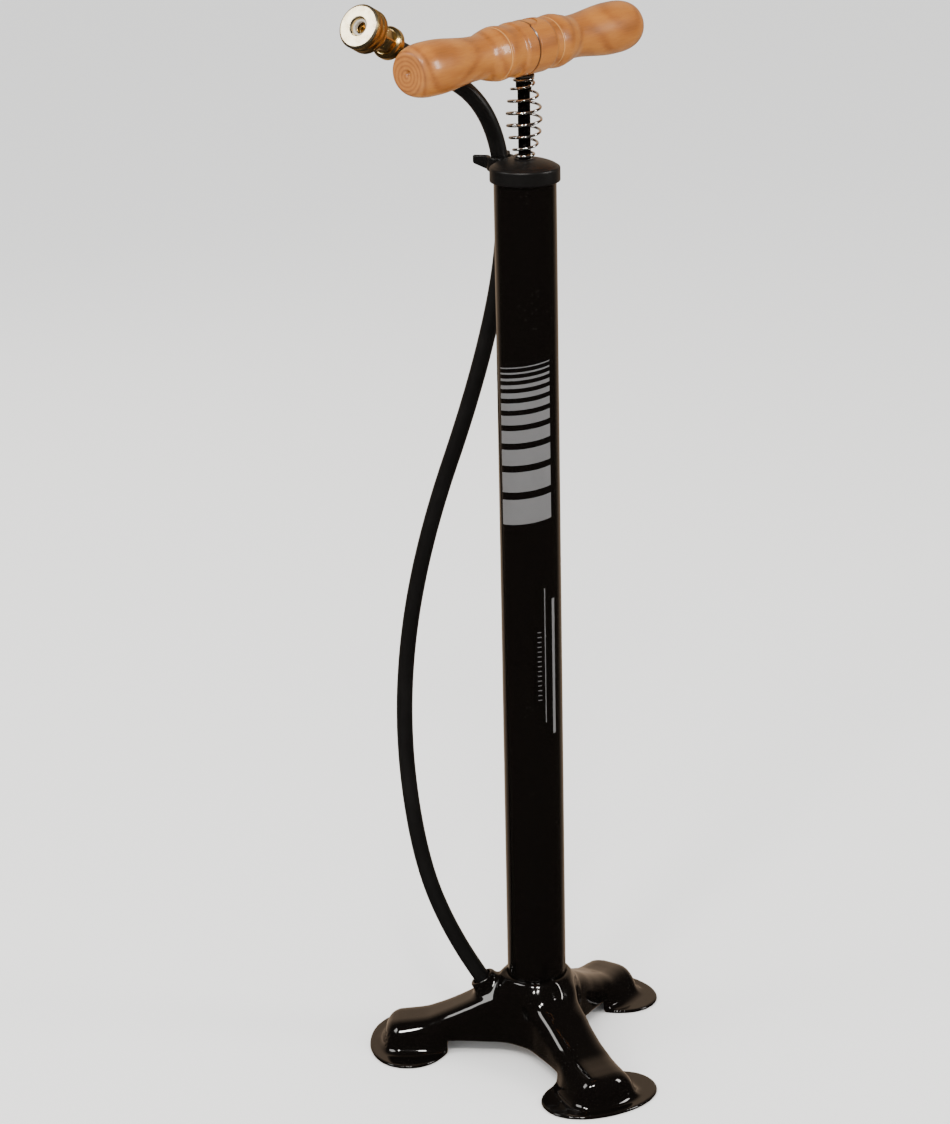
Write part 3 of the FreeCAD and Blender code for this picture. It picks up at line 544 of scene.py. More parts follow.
def softMin(first, second, blend):
    gap = np.maximum(blend - np.abs(first - second), 0) / blend
    return np.minimum(first, second) - gap * gap * blend / 4


def softMax(first, second, blend):
    return -softMin(-first, -second, blend)


def fieldMesh(name, field, low, high, step, rounds=4, pull=0.8):
    # A closed surface where the field is zero: one point in each cell that it crosses,
    # moved onto the surface in a few rounds.
    axes = [np.arange(a, b + step, step) for a, b in zip(low, high)]
    values = field(*np.meshgrid(*axes, indexing="ij"))
    cells = tuple(length - 1 for length in values.shape)
    total = np.zeros(cells + (3,))
    count = np.zeros(cells)
    faces = []
    numbers = np.full(cells, -1)
    crossings = []
    for axis in range(3):
        ahead = np.moveaxis(values, axis, 0)
        first, second = ahead[:-1], ahead[1:]
        crossed = (first < 0) != (second < 0)
        share = np.where(crossed, first / np.where(crossed, first - second, 1), 0)
        others = [other for other in range(3) if other != axis]
        crossings.append((axis, others, crossed, first < 0))
        for one in (0, 1):
            for two in (0, 1):
                window = (slice(None), slice(one, one + cells[others[0]]), slice(two, two + cells[others[1]]))
                hit = np.moveaxis(crossed[window], 0, axis)
                part = np.moveaxis(share[window], 0, axis)
                count += hit
                total[..., axis] += np.where(hit, part, 0)
                total[..., others[0]] += hit * one
                total[..., others[1]] += hit * two
    used = count > 0
    numbers[used] = np.arange(used.sum())
    index = np.argwhere(used)
    points = (index + total[used] / count[used][:, None]) * step + np.array([axis[0] for axis in axes])
    for axis, others, crossed, rising in crossings:
        inner = crossed[:, 1:-1, 1:-1]
        for place in np.argwhere(inner):
            cell = [0, 0, 0]
            cell[axis] = place[0]
            around = []
            for one, two in ((0, 0), (1, 0), (1, 1), (0, 1)):
                cell[others[0]] = place[1] + one
                cell[others[1]] = place[2] + two
                around.append(int(numbers[tuple(cell)]))
            flip = rising[place[0], place[1] + 1, place[2] + 1] == (axis != 1)
            faces.append(around if flip else around[::-1])
    nudge = step * 0.05
    for _ in range(rounds):
        level = field(*points.T)
        slope = np.stack([
            (field(*(points + nudge * unit).T) - field(*(points - nudge * unit).T)) / (2 * nudge)
            for unit in np.eye(3)], axis=1)
        size = np.maximum((slope ** 2).sum(1), 0.05)
        points -= np.clip(level / size, -step, step)[:, None] * slope * pull
    mesh = bpy.data.meshes.new(name)
    mesh.from_pydata([tuple(point) for point in points], [], faces)
    mesh.validate()
    return mesh


# Tripod: one pressed shell with a collar, three channel legs with knuckles, and thin oval feet.

barrelLow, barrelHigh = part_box("barrel_tube")
baseLow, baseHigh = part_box("base_tripod")
barrelRadius = (barrelHigh.x - barrelLow.x) / 2

tripodLook = {
    "sheet": 2.0 * mm,
    "footReach": 88.0 * mm,
    "footRadial": 29.0 * mm,
    "footAcross": 41.4 * mm,
    "footPower": 2.1,
    "footEdge": 1.2 * mm,
    "footFillet": 5.0 * mm,
    "floorEdge": 0.8 * mm,
    "archHeight": 9.0 * mm,
    "archEdge": 1.5 * mm,
    "legStart": 4 * mm,         # behind the barrel's axis
    "legEnd": 108.5 * mm,
    "legEndEdge": 5 * mm,
    "steepest": 2.5,            # slope of the legs' tops that the field allows for
    "wallEase": 0.95,
    "crown": 12.0 * mm,         # rounding of the legs' upper edges
    "web": 16.0 * mm,           # fillet between the legs
    "innerEdge": 1.0 * mm,
    "collarFlare": 3.5 * mm,
    "collarEdge": 2.5 * mm,
    "collarFillet": 5 * mm,
    "boreGap": 0.1 * mm,
    "boreEdge": 0.8 * mm,
    "grain": 1.15 * mm,         # spacing of the mesh
    "roomBelow": (6 * mm, 4 * mm, 2 * mm),     # grid beyond the box, along each axis
    "roomAbove": (2 * mm, 4 * mm, 8 * mm),
    "top": [(0, 52), (12, 51.5), (22, 50), (30, 44), (42.5, 38), (50, 34), (60, 29.2), (70, 25), (76, 22.8),
            (84, 21.4), (92, 20.5), (98, 19.5), (102, 17.5), (105, 13), (107, 7), (109, 0)],
    "half": [(0, 19), (30, 18.5), (50, 17.6), (60, 17.6), (75, 18.5), (95, 18.5), (100, 17), (105, 13.5),
             (108, 8), (109.5, 4)],
    "flare": [(0, 0), (52, 0), (66, 2.5), (76, 5.5), (92, 6.5), (100, 6), (109, 5)],     # of the walls' foot
    "flareHeight": 18.0 * mm,
    "flarePower": 1.5,
    "holeRadius": 6.75 * mm,
    "holeStart": 4 * mm,
    "holeEdge": 1.2 * mm,
    "lip": 2.4 * mm,
    "bossLength": 9.5 * mm,
    "bossEdge": 2 * mm,
    "bossFillet": 6 * mm,
}


def tripodField(values):
    topAt = smoothCurve([(place * mm, height * mm) for place, height in values["top"]])
    halfAt = smoothCurve([(place * mm, half * mm) for place, half in values["half"]])
    flareAt = smoothCurve([(place * mm, flare * mm) for place, flare in values["flare"]])
    mouth = np.array(hoseLook["route"][0])
    aim = np.array(hoseLook["route"][1]) - mouth
    aim = aim / np.linalg.norm(aim)
    collarTop = baseHigh.z

    def field(x, y, z):
        reach = np.hypot(x, y)
        legs = feet = None
        for leg in range(legCount):
            angle = 2 * math.pi * leg / legCount
            along = x * math.cos(angle) + y * math.sin(angle)
            aside = y * math.cos(angle) - x * math.sin(angle)
            slope = (topAt(along + 0.5 * mm) - topAt(along - 0.5 * mm)) / mm
            slope = np.clip(slope, -values["steepest"], values["steepest"])
            roof = (z - topAt(along)) / np.sqrt(1 + slope ** 2)
            spread = flareAt(along) * np.clip(1 - z / values["flareHeight"], 0, 1) ** values["flarePower"]
            wall = (np.abs(aside) - halfAt(along) - spread) * values["wallEase"]
            body = softMax(roof, wall, values["crown"])
            body = softMax(body, along - values["legEnd"], values["legEndEdge"])
            body = np.maximum(body, -along - values["legStart"])
            legs = body if legs is None else softMin(legs, body, values["web"])
            outward = (np.abs(along - values["footReach"]) / values["footRadial"]) ** values["footPower"]
            sideways = (np.abs(aside) / values["footAcross"]) ** values["footPower"]
            share = np.maximum((outward + sideways) ** (1 / values["footPower"]), 0.05)
            oval = np.hypot(along - values["footReach"], aside) * (1 - 1 / share)
            feet = oval if feet is None else np.minimum(feet, oval)
        flare = values["collarFlare"] * np.clip(1 - z / collarTop, 0, 1) ** values["flarePower"]
        hub = softMax(reach - (barrelRadius + values["sheet"] + flare), z - collarTop, values["collarEdge"])
        skin = softMin(legs, hub, values["collarFillet"])
        offset = np.stack([x - mouth[0], y - mouth[1], z - mouth[2]])
        forward = np.tensordot(aim, offset, 1)
        fromAxis = np.sqrt(np.maximum((offset ** 2).sum(0) - forward ** 2, 0))
        boss = softMax(fromAxis - values["holeRadius"] - values["lip"], forward - values["bossLength"],
                       values["bossEdge"])
        boss = np.maximum(boss, -forward)
        skin = softMin(skin, boss, values["bossFillet"])
        hollow = skin + values["sheet"]
        plates = softMax(feet, z - values["sheet"], values["footEdge"])
        whole = softMin(skin, plates, values["footFillet"])
        whole = softMax(whole, -z, values["floorEdge"])
        gap = np.maximum(z - values["archHeight"], -feet)
        whole = softMax(whole, -gap, values["archEdge"])
        whole = softMax(whole, -hollow, values["innerEdge"])
        whole = softMax(whole, barrelRadius + values["boreGap"] - reach, values["boreEdge"])
        hole = np.maximum(fromAxis - values["holeRadius"], -forward - values["holeStart"])
        return softMax(whole, -hole, values["holeEdge"])
    return field


def buildTripod(values):
    below, above = values["roomBelow"], values["roomAbove"]
    low = (baseLow.x - below[0], baseLow.y - below[1], -below[2])
    high = tuple(part + room for part, room in zip(baseHigh, above))
    mesh = fieldMesh("tripodShell", tripodField(values), low, high, values["grain"])
    shell = addPiece("tripodShell", mesh, "pressed", "stand", sharpAngle=0)
    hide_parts("base_tripod")


buildTripod(tripodLook)
print("tripod made")


# Barrel with its print.

barrelLook = {
    "wall": 1.5 * mm,
    "segments": 192,
    "edge": 0.5 * mm,
}

printLook = {
    "proud": 0.06 * mm,
    "facing": -156.5,        # degrees from +X, middle of the large print
    "spread": 52.0,          # half the large print's width, degrees
    "bars": [(0.0, 17.0), (22.0, 13.5), (40.0, 10.8), (55.0, 8.4), (67.2, 6.4), (77.0, 4.8), (85.0, 3.5),
             (91.4, 2.5), (96.6, 1.7), (101.0, 1.1), (104.8, 0.7)],
    "foot": 385.0 * mm,
    "slant": 6.0 * mm,
    "wideLine": {"facing": -102.5, "width": 2.3 * mm, "low": 237 * mm, "high": 332 * mm},
    "fineLine": {"facing": -121.5, "width": 0.6 * mm, "low": 246 * mm, "high": 340 * mm},
    "ticks": {"facing": -133.0, "width": 2.6 * mm, "low": 262 * mm, "count": 15, "gap": 3.4 * mm,
              "thick": 0.5 * mm},
}


def buildBarrel(values):
    inner = barrelRadius - values["wall"]
    outline = rounded([
        (inner, barrelLow.z, 0), (barrelRadius, barrelLow.z, values["edge"]),
        (barrelRadius, barrelHigh.z, values["edge"]), (inner, barrelHigh.z, 0)])
    mesh = latheMesh("barrelTube", outline, values["segments"])
    barrel = addPiece("barrelTube", mesh, "enamel", "stand")
    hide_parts("barrel_tube")


def printPatch(build, startAngle, stopAngle, low, high, slant, radius):
    across = max(2, int(abs(stopAngle - startAngle) / 2))
    rows = []
    for height in (low, high):
        row = []
        for step in range(across + 1):
            share = step / across
            angle = math.radians(startAngle + (stopAngle - startAngle) * share)
            lift = slant * (share - 0.5)
            place = (radius * math.cos(angle), radius * math.sin(angle), height + lift)
            row.append(build.verts.new(place))
        rows.append(row)
    for step in range(across):
        build.faces.new((rows[0][step], rows[0][step + 1], rows[1][step + 1], rows[1][step]))


def buildPrint(values):
    radius = barrelRadius + values["proud"]
    mesh = bpy.data.meshes.new("silverPrint")
    build = bmesh.new()
    for start, thick in values["bars"]:
        low = values["foot"] + start * mm
        printPatch(build, values["facing"] - values["spread"], values["facing"] + values["spread"],
                   low, low + thick * mm, values["slant"], radius)
    for name in ("wideLine", "fineLine"):
        line = values[name]
        half = math.degrees(line["width"] / radius) / 2
        printPatch(build, line["facing"] - half, line["facing"] + half, line["low"], line["high"], 0, radius)
    ticks = values["ticks"]
    half = math.degrees(ticks["width"] / radius) / 2
    for index in range(ticks["count"]):
        low = ticks["low"] + index * ticks["gap"]
        printPatch(build, ticks["facing"] - half, ticks["facing"] + half, low, low + ticks["thick"], 0, radius)
    build.to_mesh(mesh)
    build.free()
    addPiece("silverPrint", mesh, "silver", "stand", sharpAngle=0)


buildBarrel(barrelLook)
buildPrint(printLook)
print("barrel made")


# Cap: a domed cover with a hooked clip that holds the hose.

capLow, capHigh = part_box("top_cap")
clipTurn = 62.2            # degrees from +X to the clip, about the barrel's axis
clipReach = 30.85 * mm

capLook = {
    "radius": 22.5 * mm,
    "height": 14.6 * mm,
    "skirt": 9.2 * mm,
    "skirtRise": 0.3 * mm,
    "skirtEdge": 1.6 * mm,
    "domePower": 2.4,
    "domeInset": 0.9 * mm,
    "domeEase": 0.92,
    "domeEdge": 2.2 * mm,
    "domeFillet": 0.8 * mm,
    "bore": 4.3 * mm,
    "boreEdge": 0.8 * mm,
    "cavityTop": 8.1 * mm,
    "cavityGap": 0.1 * mm,
    "cavityEdge": 0.5 * mm,
    "lowerEdge": 0.8 * mm,
    "clipHeight": 11.0 * mm,
    "clipLow": 0.4 * mm,
    "clipBore": 6.5 * mm,
    "clipWall": 2.7 * mm,
    "clipEdge": 1.4 * mm,
    "clipFillet": 2.0 * mm,
    "neckStart": 0.6,          # as shares of the clip's reach
    "neckLength": 0.4,
    "neckHalf": 4.2 * mm,
    "neckFillet": 3 * mm,
    "lipLength": 12.0 * mm,
    "lipTurn": 50.0,
    "lipRoot": 40,
    "lipInset": 1.35 * mm,
    "lipTrim": 2.6 * mm,
    "lipFillet": 2 * mm,
    "mouth": 4.7 * mm,
    "mouthLength": 20 * mm,
    "mouthEdge": 0.9 * mm,
    "lipRise": 5.4 * mm,       # of the clip's lower edge, out to the lips' tips
    "riseStart": 6 * mm,
    "riseLength": 13 * mm,
    "grain": 0.62 * mm,
    "room": 1.5 * mm,
}


def capField(values):
    base = capLow.z
    turn = math.radians(clipTurn)

    def bar(x, y, startX, startY, angle, length, half):
        # Distance to a straight bar in plan with rounded ends.
        along = (x - startX) * math.cos(angle) + (y - startY) * math.sin(angle)
        aside = (y - startY) * math.cos(angle) - (x - startX) * math.sin(angle)
        return np.hypot(along - np.clip(along, 0, length), aside) - half

    def field(x, y, z):
        height = z - base
        reach = np.hypot(x, y)
        domeTop = (values["height"] - (values["height"] - values["skirt"])
                   * (reach / values["radius"]) ** values["domePower"])
        dome = softMax(reach - values["radius"] + values["domeInset"],
                       (height - domeTop) * values["domeEase"], values["domeEdge"])
        skirt = softMax(reach - values["radius"], height - values["skirt"] - values["skirtRise"],
                        values["skirtEdge"])
        whole = softMin(dome, skirt, values["domeFillet"])
        clipX, clipY = clipReach * math.cos(turn), clipReach * math.sin(turn)
        fromClip = np.hypot(x - clipX, y - clipY)
        outer = values["clipBore"] + values["clipWall"]
        neck = bar(x, y, clipX * values["neckStart"], clipY * values["neckStart"], turn,
                   clipReach * values["neckLength"], values["neckHalf"])
        plan = softMin(fromClip - outer, neck, values["neckFillet"])
        for side in (-1, 1):
            lipAngle = turn + side * math.radians(values["lipTurn"])
            rootAngle = turn + side * math.radians(values["lipRoot"])
            rootX = clipX + (outer - values["lipInset"]) * math.cos(rootAngle)
            rootY = clipY + (outer - values["lipInset"]) * math.sin(rootAngle)
            lip = bar(x, y, rootX, rootY, lipAngle, values["lipLength"] - values["lipTrim"],
                      values["clipWall"] / 2)
            plan = softMin(plan, lip, values["lipFillet"])
        bore = fromClip - values["clipBore"]
        mouth = bar(x, y, clipX, clipY, turn, values["mouthLength"], values["mouth"])
        plan = softMax(plan, -np.minimum(bore, mouth), values["mouthEdge"])
        beyond = np.clip((fromClip - values["riseStart"]) / values["riseLength"], 0, 1)
        low = values["clipLow"] + values["lipRise"] * beyond
        clip = softMax(plan, np.maximum(low - height, height - values["clipHeight"]), values["clipEdge"])
        whole = softMin(whole, clip, values["clipFillet"])
        whole = softMax(whole, -height, values["lowerEdge"])
        cavity = np.maximum(reach - barrelRadius - values["cavityGap"], height - values["cavityTop"])
        whole = softMax(whole, -cavity, values["cavityEdge"])
        return softMax(whole, values["bore"] - reach, values["boreEdge"])
    return field


def buildCap(values):
    low = tuple(part - values["room"] for part in capLow)
    high = tuple(part + values["room"] for part in capHigh)
    mesh = fieldMesh("capShell", capField(values), low, high, values["grain"])
    cap = addPiece("capShell", mesh, "plastic", "stand", sharpAngle=0)
    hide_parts("top_cap")


buildCap(capLook)
print("cap made")


# Bumper spring: a barrel-shaped coil with a closed turn at each end.

springLow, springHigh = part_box("bumper_spring")

springLook = {
    "wire": 1.7 * mm,
    "endRadius": 5.95 * mm,
    "working": 6.0,
    "closed": 1.0,
    "perTurn": 40,
    "closedGap": 0.15 * mm,
    "bulge": 0.9,
    "pressed": 0.705,        # share of its length when the handle is pressed down
}


def springPoints(values):
    middle = (springHigh.x - springLow.x) / 2 - values["wire"] / 2
    rise = values["wire"] + values["closedGap"]
    length = springHigh.z - springLow.z
    points = []
    for index in range(int((values["working"] + 2 * values["closed"]) * values["perTurn"]) + 1):
        turn = index / values["perTurn"]
        share = min(1.0, max(0.0, (turn - values["closed"]) / values["working"]))
        ends = min(turn, values["closed"]) + max(0.0, turn - values["closed"] - values["working"])
        height = values["wire"] / 2 + rise * ends + (length - values["wire"] - 2 * rise) * share
        bulge = math.sin(math.pi * share) ** values["bulge"]
        radius = values["endRadius"] + (middle - values["endRadius"]) * bulge
        angle = 2 * math.pi * turn
        points.append(Vector((radius * math.cos(angle), radius * math.sin(angle), springLow.z + height)))
    return points


def buildSpring(values):
    mesh = tubeMesh("bumperSpring", springPoints(values), values["wire"] / 2)
    spring = addPiece("bumperSpring", mesh, "chrome", "stand")
    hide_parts("bumper_spring")
    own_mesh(spring)


# The valve's own spring.

valveSpringLook = {
    "wire": 0.6 * mm,
    "turns": 4,
    "perTurn": 40,
    "travel": 2.0 * mm,
}


def buildValveSpring(values):
    low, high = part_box("valve_spring")
    length = high.z - low.z
    radius = (high.x - low.x - values["wire"]) / 2
    points = []
    for index in range(values["turns"] * values["perTurn"] + 1):
        turn = index / values["perTurn"]
        height = low.z + values["wire"] / 2 + (length - values["wire"]) * turn / values["turns"]
        angle = 2 * math.pi * turn
        points.append(Vector((radius * math.cos(angle), radius * math.sin(angle), height)))
    mesh = tubeMesh("valveSpring", points, values["wire"] / 2)
    spring = addPiece("valveSpring", mesh, "steel", "stand")
    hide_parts("valve_spring")
    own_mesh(spring)


buildSpring(springLook)
buildValveSpring(valveSpringLook)
print("springs made")


# Handle: turned from one piece of wood.

handleLow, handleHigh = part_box("handle_grip")
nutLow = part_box("handle_nut")[0]
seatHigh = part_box("spring_seat")[1]

handleLook = {
    "half": 110.4 * mm,
    "yaw": -6.0,
    "axisRise": 17.2 * mm,      # above the spring's seat
    "flat": 0.3 * mm,           # taken off the box's lower side under the band
    "stations": [(0, 17.2), (12.6, 17.1), (16.5, 16.1), (21, 16.3), (28.5, 17.0), (36, 15.7), (46, 13.6),
                 (55, 13.85), (66, 14.9), (78, 16.2), (88, 16.7), (94, 16.65)],
    "places": (0, 94.01, 0.4),  # from, to and step along the outline, in millimetres
    "endStart": 94.0 * mm,
    "endRadius": 10.9 * mm,
    "endSteps": 12,
    "endLip": 0.5 * mm,
    "faceRings": (0.8, 0.55, 0.35),
    "grooves": [(-3.5 * mm, 1.3 * mm), (-31.0 * mm, 0.4 * mm), (21.5 * mm, 0.4 * mm)],     # place, depth
    "grooveWidth": 1.1 * mm,
    "dimple": 2.2 * mm,
    "dimpleSteps": [(1, 0), (0.85, 0.3 * mm), (0.35, 2.0 * mm), (0, 2.4 * mm)],     # share of radius, depth
    "rodBore": 4.1 * mm,
    "socket": 8.0 * mm,
    "socketEase": 1 * mm,
    "nutGap": 1.5 * mm,
    "through": 30 * mm,
}


def handleSide(values, way):
    # From the middle out to one end's dimple, as (radius, distance).
    radiusAt = smoothCurve([(place * mm, radius * mm) for place, radius in values["stations"]])
    side = []
    for place in np.arange(*values["places"]) * mm:
        notch = sum(depth * max(0.0, 1 - abs(way * place - groove) / values["grooveWidth"])
                    for groove, depth in values["grooves"])
        side.append((float(radiusAt(place)) - notch, place))
    reach = values["half"] - values["endStart"]
    last = side[-1][0]
    for step in range(1, values["endSteps"] + 1):
        turn = math.pi / 2 * step / values["endSteps"]
        side.append((values["endRadius"] + (last - values["endRadius"]) * math.cos(turn),
                     values["endStart"] + reach * math.sin(turn)))
    side.append((values["endRadius"] - values["endLip"], values["half"]))
    face = [(share * values["endRadius"], values["half"]) for share in values["faceRings"]]
    dimple = [(values["dimple"] * share, values["half"] - depth) for share, depth in values["dimpleSteps"]]
    return side + face + dimple


def handleOutline(values):
    upper, lower = [handleSide(values, way) for way in (1, -1)]
    return [(radius, -place) for radius, place in reversed(lower[1:])] + upper


def boreThrough(piece, radius, low, high):
    # Cut a round hole along the piece's own Z.
    cutter = bpy.data.objects.new("cutter", latheMesh("cutter", [
        (0.0, low), (radius, low), (radius, high), (0.0, high)], 64, closed=False))
    bpy.context.scene.collection.objects.link(cutter)
    cutter.matrix_world = piece.matrix_world
    cut = piece.modifiers.new("bore", "BOOLEAN")
    cut.object = cutter
    cut.solver = "EXACT"
    bpy.context.view_layer.update()
    result = bpy.data.meshes.new_from_object(piece.evaluated_get(bpy.context.evaluated_depsgraph_get()))
    piece.modifiers.clear()
    piece.data = result
    bpy.data.objects.remove(cutter)


def buildHandle(values):
    mesh = latheMesh("woodenHandle", handleOutline(values), 144, closed=False)
    mesh.transform(Matrix.Rotation(math.radians(90), 4, "Y"))
    centre = (handleLow + handleHigh) / 2
    axisHeight = seatHigh.z + values["axisRise"] - values["flat"]
    yaw = Matrix.Rotation(math.radians(values["yaw"]), 4, "Z")
    place = Matrix.Translation((centre.x, centre.y, axisHeight)) @ yaw
    handle = addPiece("woodenHandle", mesh, "wood", "rod", place, sharpAngle=50)
    through = values["through"]
    boreThrough(handle, values["rodBore"], -through, through)
    boreThrough(handle, values["socket"] + values["socketEase"],
                nutLow.z - values["nutGap"] - axisHeight, through)
    boreThrough(handle, values["socket"], -through, seatHigh.z - axisHeight)
    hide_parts("handle_grip")


buildHandle(handleLook)
print("handle made")


# Connector: ferrule, hexagonal stem and knurled ring on the hose's end, along one axis.

connectorLook = {
    "rise": 25.4,
    "ferruleRadius": 10.4 * mm,
    "ferruleLength": 9.0 * mm,
    "stemRadius": 8.0 * mm,
    "stemAcross": 7.15 * mm,
    "stemLength": 17.7 * mm,
    "threadRadius": 6.5 * mm,
    "threadLength": 6.5 * mm,
    "ringRadius": 14.0 * mm,
    "ringLength": 13.2 * mm,
    "ringGap": 0.3 * mm,
    "ringWall": 2.5 * mm,
    "boreRadius": 5.25 * mm,
    "boreChamfer": 1.0 * mm,
    "airRadius": 2.5 * mm,
    "knurlTeeth": 72,
    "knurlDepth": 0.42 * mm,
    "knurlMargin": 1.2 * mm,
    "knurlRows": 20,
    "faceDepth": 0.6 * mm,     # the ring's end, which takes the brighter brass copy as a painted highlight
}


def onConnector(values, distance):
    rise = math.radians(values["rise"])
    aim = Vector((-math.cos(rise), 0, math.sin(rise)))
    turn = Vector((0, 0, 1)).rotation_difference(aim).to_matrix().to_4x4()
    return Matrix.Translation(Vector(hoseLook["route"][-1]) + aim * distance) @ turn


def hexagonal(across):
    # Six flats on a round bar, at a distance from its axis.
    def shape(angle, radius, height):
        inFlat = (angle + math.pi / 6) % (math.pi / 3) - math.pi / 6
        return min(radius, across / math.cos(inFlat))
    return shape


def buildConnector(values):
    ferruleLength = values["ferruleLength"]
    outline = rounded([
        (values["airRadius"], 0, 0), (values["ferruleRadius"] - 2.2 * mm, 0, 0.8 * mm),
        (values["ferruleRadius"] - 1.2 * mm, 2.4 * mm, 0.6 * mm),
        (values["ferruleRadius"], 3.0 * mm, 0.9 * mm),
        (values["ferruleRadius"], ferruleLength - 1.2 * mm, 1.6 * mm),
        (values["ferruleRadius"] - 2.2 * mm, ferruleLength, 0.8 * mm),
        (values["airRadius"], ferruleLength, 0)])
    ferrule = addPiece("hoseFerrule", latheMesh("hoseFerrule", outline, 96), "brass", "stand",
                       onConnector(values, 0))
    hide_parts("hose_ferrule")
    stemTop = values["stemLength"]
    outline = rounded([
        (values["airRadius"], 0, 0), (values["stemRadius"] - 1.0 * mm, 0, 0),
        (values["stemRadius"], 1.1 * mm, 0.3 * mm), (values["stemRadius"], stemTop - 1.1 * mm, 0.3 * mm),
        (values["stemRadius"] - 1.0 * mm, stemTop, 0), (values["threadRadius"], stemTop, 0),
        (values["threadRadius"], stemTop + values["threadLength"], 0.5 * mm),
        (values["airRadius"], stemTop + values["threadLength"], 0)])
    stemMesh = latheMesh("connectorStem", outline, 144, hexagonal(values["stemAcross"]))
    stem = addPiece("connectorStem", stemMesh, "brass", "stand",
                    onConnector(values, ferruleLength), sharpAngle=14)
    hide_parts("chuck_stem")
    ring = buildRing(values, ferruleLength + stemTop + values["ringGap"])
    return [ferrule, stem, ring]


def buildRing(values, distance):
    length = values["ringLength"]
    radius = values["ringRadius"]
    bore = values["boreRadius"]
    chamfer = values["boreChamfer"]
    cavity = values["threadRadius"] + values["ringGap"]
    knurlLow, knurlHigh = values["knurlMargin"], length - values["knurlMargin"]
    rows = values["knurlRows"]
    side = [(radius, knurlLow + (knurlHigh - knurlLow) * row / rows, 0) for row in range(rows + 1)]
    outline = rounded([
        (cavity, 0, 0), (radius - 1.3 * mm, 0, 0.2 * mm), (radius - 0.5 * mm, 0.8 * mm, 0)] + side + [
        (radius - 0.5 * mm, length - 0.8 * mm, 0.3 * mm), (radius - 1.4 * mm, length, 0.4 * mm),
        (bore + chamfer, length, 0.2 * mm), (bore, length - chamfer, 0.2 * mm),
        (bore, length - values["ringWall"], 0), (cavity, length - values["ringWall"], 0)], 4)

    def knurl(angle, reach, height):
        if reach < radius - 0.1 * mm or not knurlLow < height < knurlHigh:
            return reach
        lead = height / radius
        one = abs(math.sin((angle + lead) * values["knurlTeeth"] / 2))
        two = abs(math.sin((angle - lead) * values["knurlTeeth"] / 2))
        return reach - values["knurlDepth"] * (1 - min(one, two)) ** 2

    mesh = latheMesh("knurledRing", outline, 432, knurl)
    ring = addPiece("knurledRing", mesh, "brass", "ring",
                    onConnector(values, distance), sharpAngle=50)
    # The ring's end face takes the brighter brass copy: painted highlight.
    ring.data.materials.append(finishes["highlightBrass"])
    for face in ring.data.polygons:
        if face.center.z > length - values["faceDepth"] and face.normal.z > 0.7:
            face.material_index = 1
    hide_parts("chuck_ring")
    return ring


connector = buildConnector(connectorLook)
print("connector made")


# CAD nodes that keep their own shape get a finish.

nodeFinishes = {
    "valve_plug": "brass", "valve_screw": "brass", "outlet_elbow": "brass", "thrust_washer": "brass",
    "chuck_pin": "brass", "valve_ball": "steel", "handle_washer": "steel",
    "handle_nut": "steel", "piston_nut": "steel", "cup_spreader": "steel", "piston_plate": "steel",
    "piston_stop": "steel", "rod_bush": "plastic", "rod_felt": "felt", "cap_gasket": "rubber",
    "chuck_gasket": "paleSeal", "spring_seat": "chrome", "piston_rod": "blackSteel", "piston_cup": "leather",
    "handle_plug": "wood",
}


def finishNodes(table):
    for name, finish in table.items():
        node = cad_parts[name]
        node.data.materials.clear()
        node.data.materials.append(finishes[finish])


finishNodes(nodeFinishes)

hose.data.materials.append(finishes["rubber"])
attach(hose, "stand")
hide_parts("hose")
connector += [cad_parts[name] for name in ("chuck_gasket", "thrust_washer", "chuck_pin")]
print("nodes finished")


# Floor, world and lights.

stageLook = {
    "floor": (0.90, 0.90, 0.89),
    "floorHalf": 8,
    "sky": (1.0, 1.0, 1.0),
    "skyStrength": 1.5,
    "room": (0.030, 0.023, 0.018),      # what gloss sees between the lights
    "farRoom": (0.46, 0.335, 0.235),    # and what it sees on the far side
    "farSide": (0.833, 0.553, 0.0),
    "farEdge": (0.35, 0.95),            # where the far side begins and where it is full
}

lampTarget = (0, 0, 0.35)

lightLook = [
    # name, place, size across and up, watts, colour, whether gloss shows it
    ("keyLeft", (-1.5, -0.2, 1.9), (0.26, 0.26), 14, (1.0, 0.97, 0.93), True),
    ("keyLeftTwin", (-1.2, -0.75, 1.95), (0.26, 0.26), 14, (1.0, 0.97, 0.93), True),
    ("rimRight", (0.7, -1.7, 1.3), (0.35, 0.9), 14, (1.0, 0.96, 0.92), True),
    ("topSoft", (-0.2, 0.3, 2.6), (1.4, 1.4), 16, (1.0, 0.99, 0.97), False),
    ("backSoft", (0.9, 1.5, 1.4), (1.2, 1.4), 8, (1.0, 0.93, 0.86), False),
    ("faceSoft", (-1.35, 1.2, 1.76), (0.8, 0.8), 12, (1.0, 0.98, 0.95), True),
]


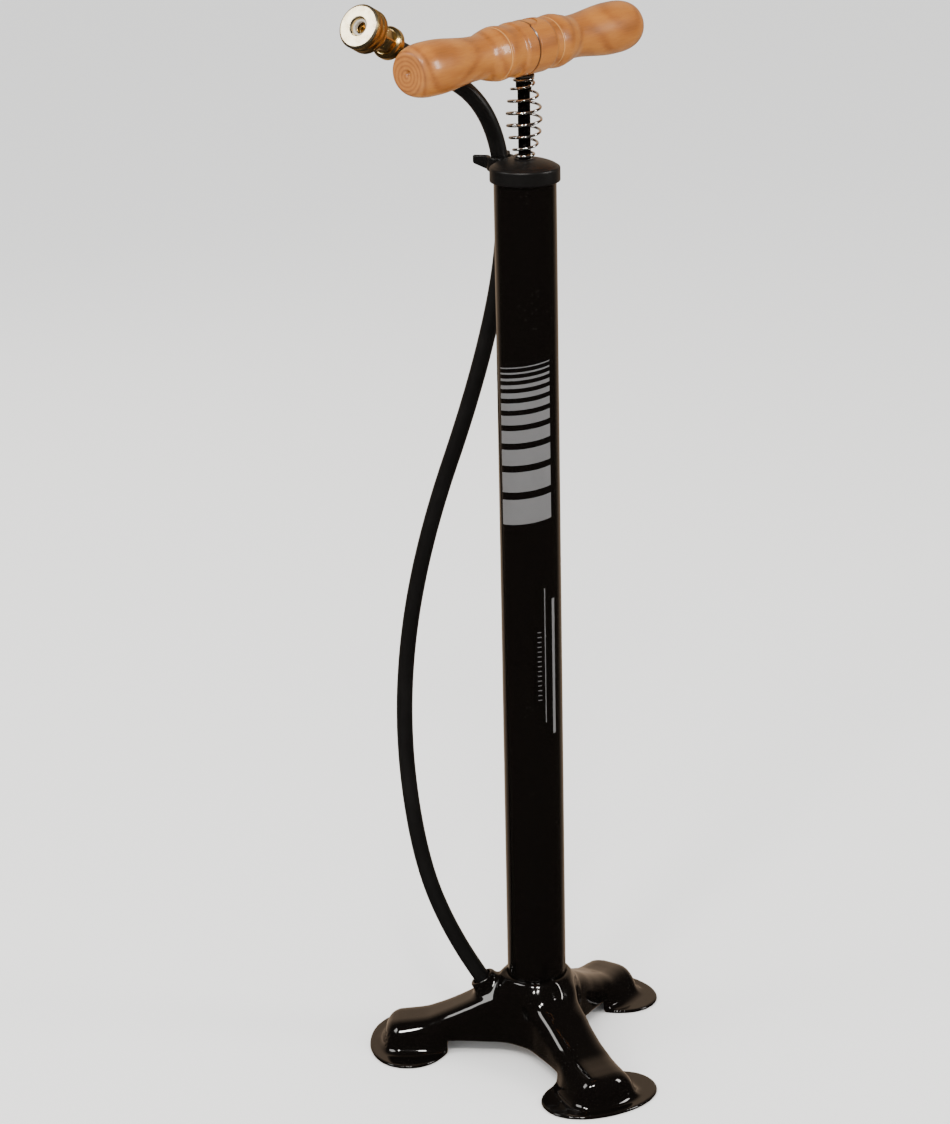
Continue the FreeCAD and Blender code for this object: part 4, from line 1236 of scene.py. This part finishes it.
def buildStage(values):
    mesh = bpy.data.meshes.new("paleFloor")
    build = bmesh.new()
    bmesh.ops.create_grid(build, x_segments=2, y_segments=2, size=values["floorHalf"])
    build.to_mesh(mesh)
    build.free()
    floor = bpy.data.objects.new("paleFloor", mesh)
    bpy.context.scene.collection.objects.link(floor)
    floor.visible_glossy = False
    finish = Finish("floorPaint", {
        "Base Color": (*values["floor"], 1), "Roughness": 0.9, "Specular IOR Level": 0.1})
    mesh.materials.append(finish.material)
    world = bpy.data.worlds.new("studio")
    bpy.context.scene.world = world
    world.use_nodes = True
    nodes, links = world.node_tree.nodes, world.node_tree.links
    sky = nodes["Background"]
    sky.inputs["Color"].default_value = (*values["sky"], 1)
    sky.inputs["Strength"].default_value = values["skyStrength"]
    room = nodes.new("ShaderNodeBackground")
    direction = nodes.new("ShaderNodeTexCoord")
    facing = nodes.new("ShaderNodeVectorMath")
    facing.operation = "DOT_PRODUCT"
    facing.inputs[1].default_value = values["farSide"]
    links.new(direction.outputs["Generated"], facing.inputs[0])
    spread = nodes.new("ShaderNodeMapRange")
    spread.interpolation_type = "SMOOTHSTEP"
    spread.inputs["From Min"].default_value, spread.inputs["From Max"].default_value = values["farEdge"]
    links.new(facing.outputs["Value"], spread.inputs["Value"])
    tone = nodes.new("ShaderNodeMix")
    tone.data_type = "RGBA"
    tone.inputs[6].default_value = (*values["room"], 1)
    tone.inputs[7].default_value = (*values["farRoom"], 1)
    links.new(spread.outputs["Result"], tone.inputs["Factor"])
    links.new(tone.outputs[2], room.inputs["Color"])
    path = nodes.new("ShaderNodeLightPath")
    mix = nodes.new("ShaderNodeMixShader")
    links.new(path.outputs["Is Glossy Ray"], mix.inputs[0])
    links.new(sky.outputs[0], mix.inputs[1])
    links.new(room.outputs[0], mix.inputs[2])
    links.new(mix.outputs[0], nodes["World Output"].inputs["Surface"])


def buildLights(rows):
    for name, place, size, watts, colour, seen in rows:
        light = bpy.data.lights.new(name, "AREA")
        light.shape = "RECTANGLE"
        light.size, light.size_y = size
        light.energy = watts
        light.color = colour
        lamp = bpy.data.objects.new(name, light)
        lamp.location = place
        lamp.visible_glossy = seen
        aim = Vector(lampTarget) - Vector(place)
        lamp.rotation_euler = aim.to_track_quat("-Z", "Y").to_euler()
        bpy.context.scene.collection.objects.link(lamp)


buildStage(stageLook)
buildLights(lightLook)
print("stage made")
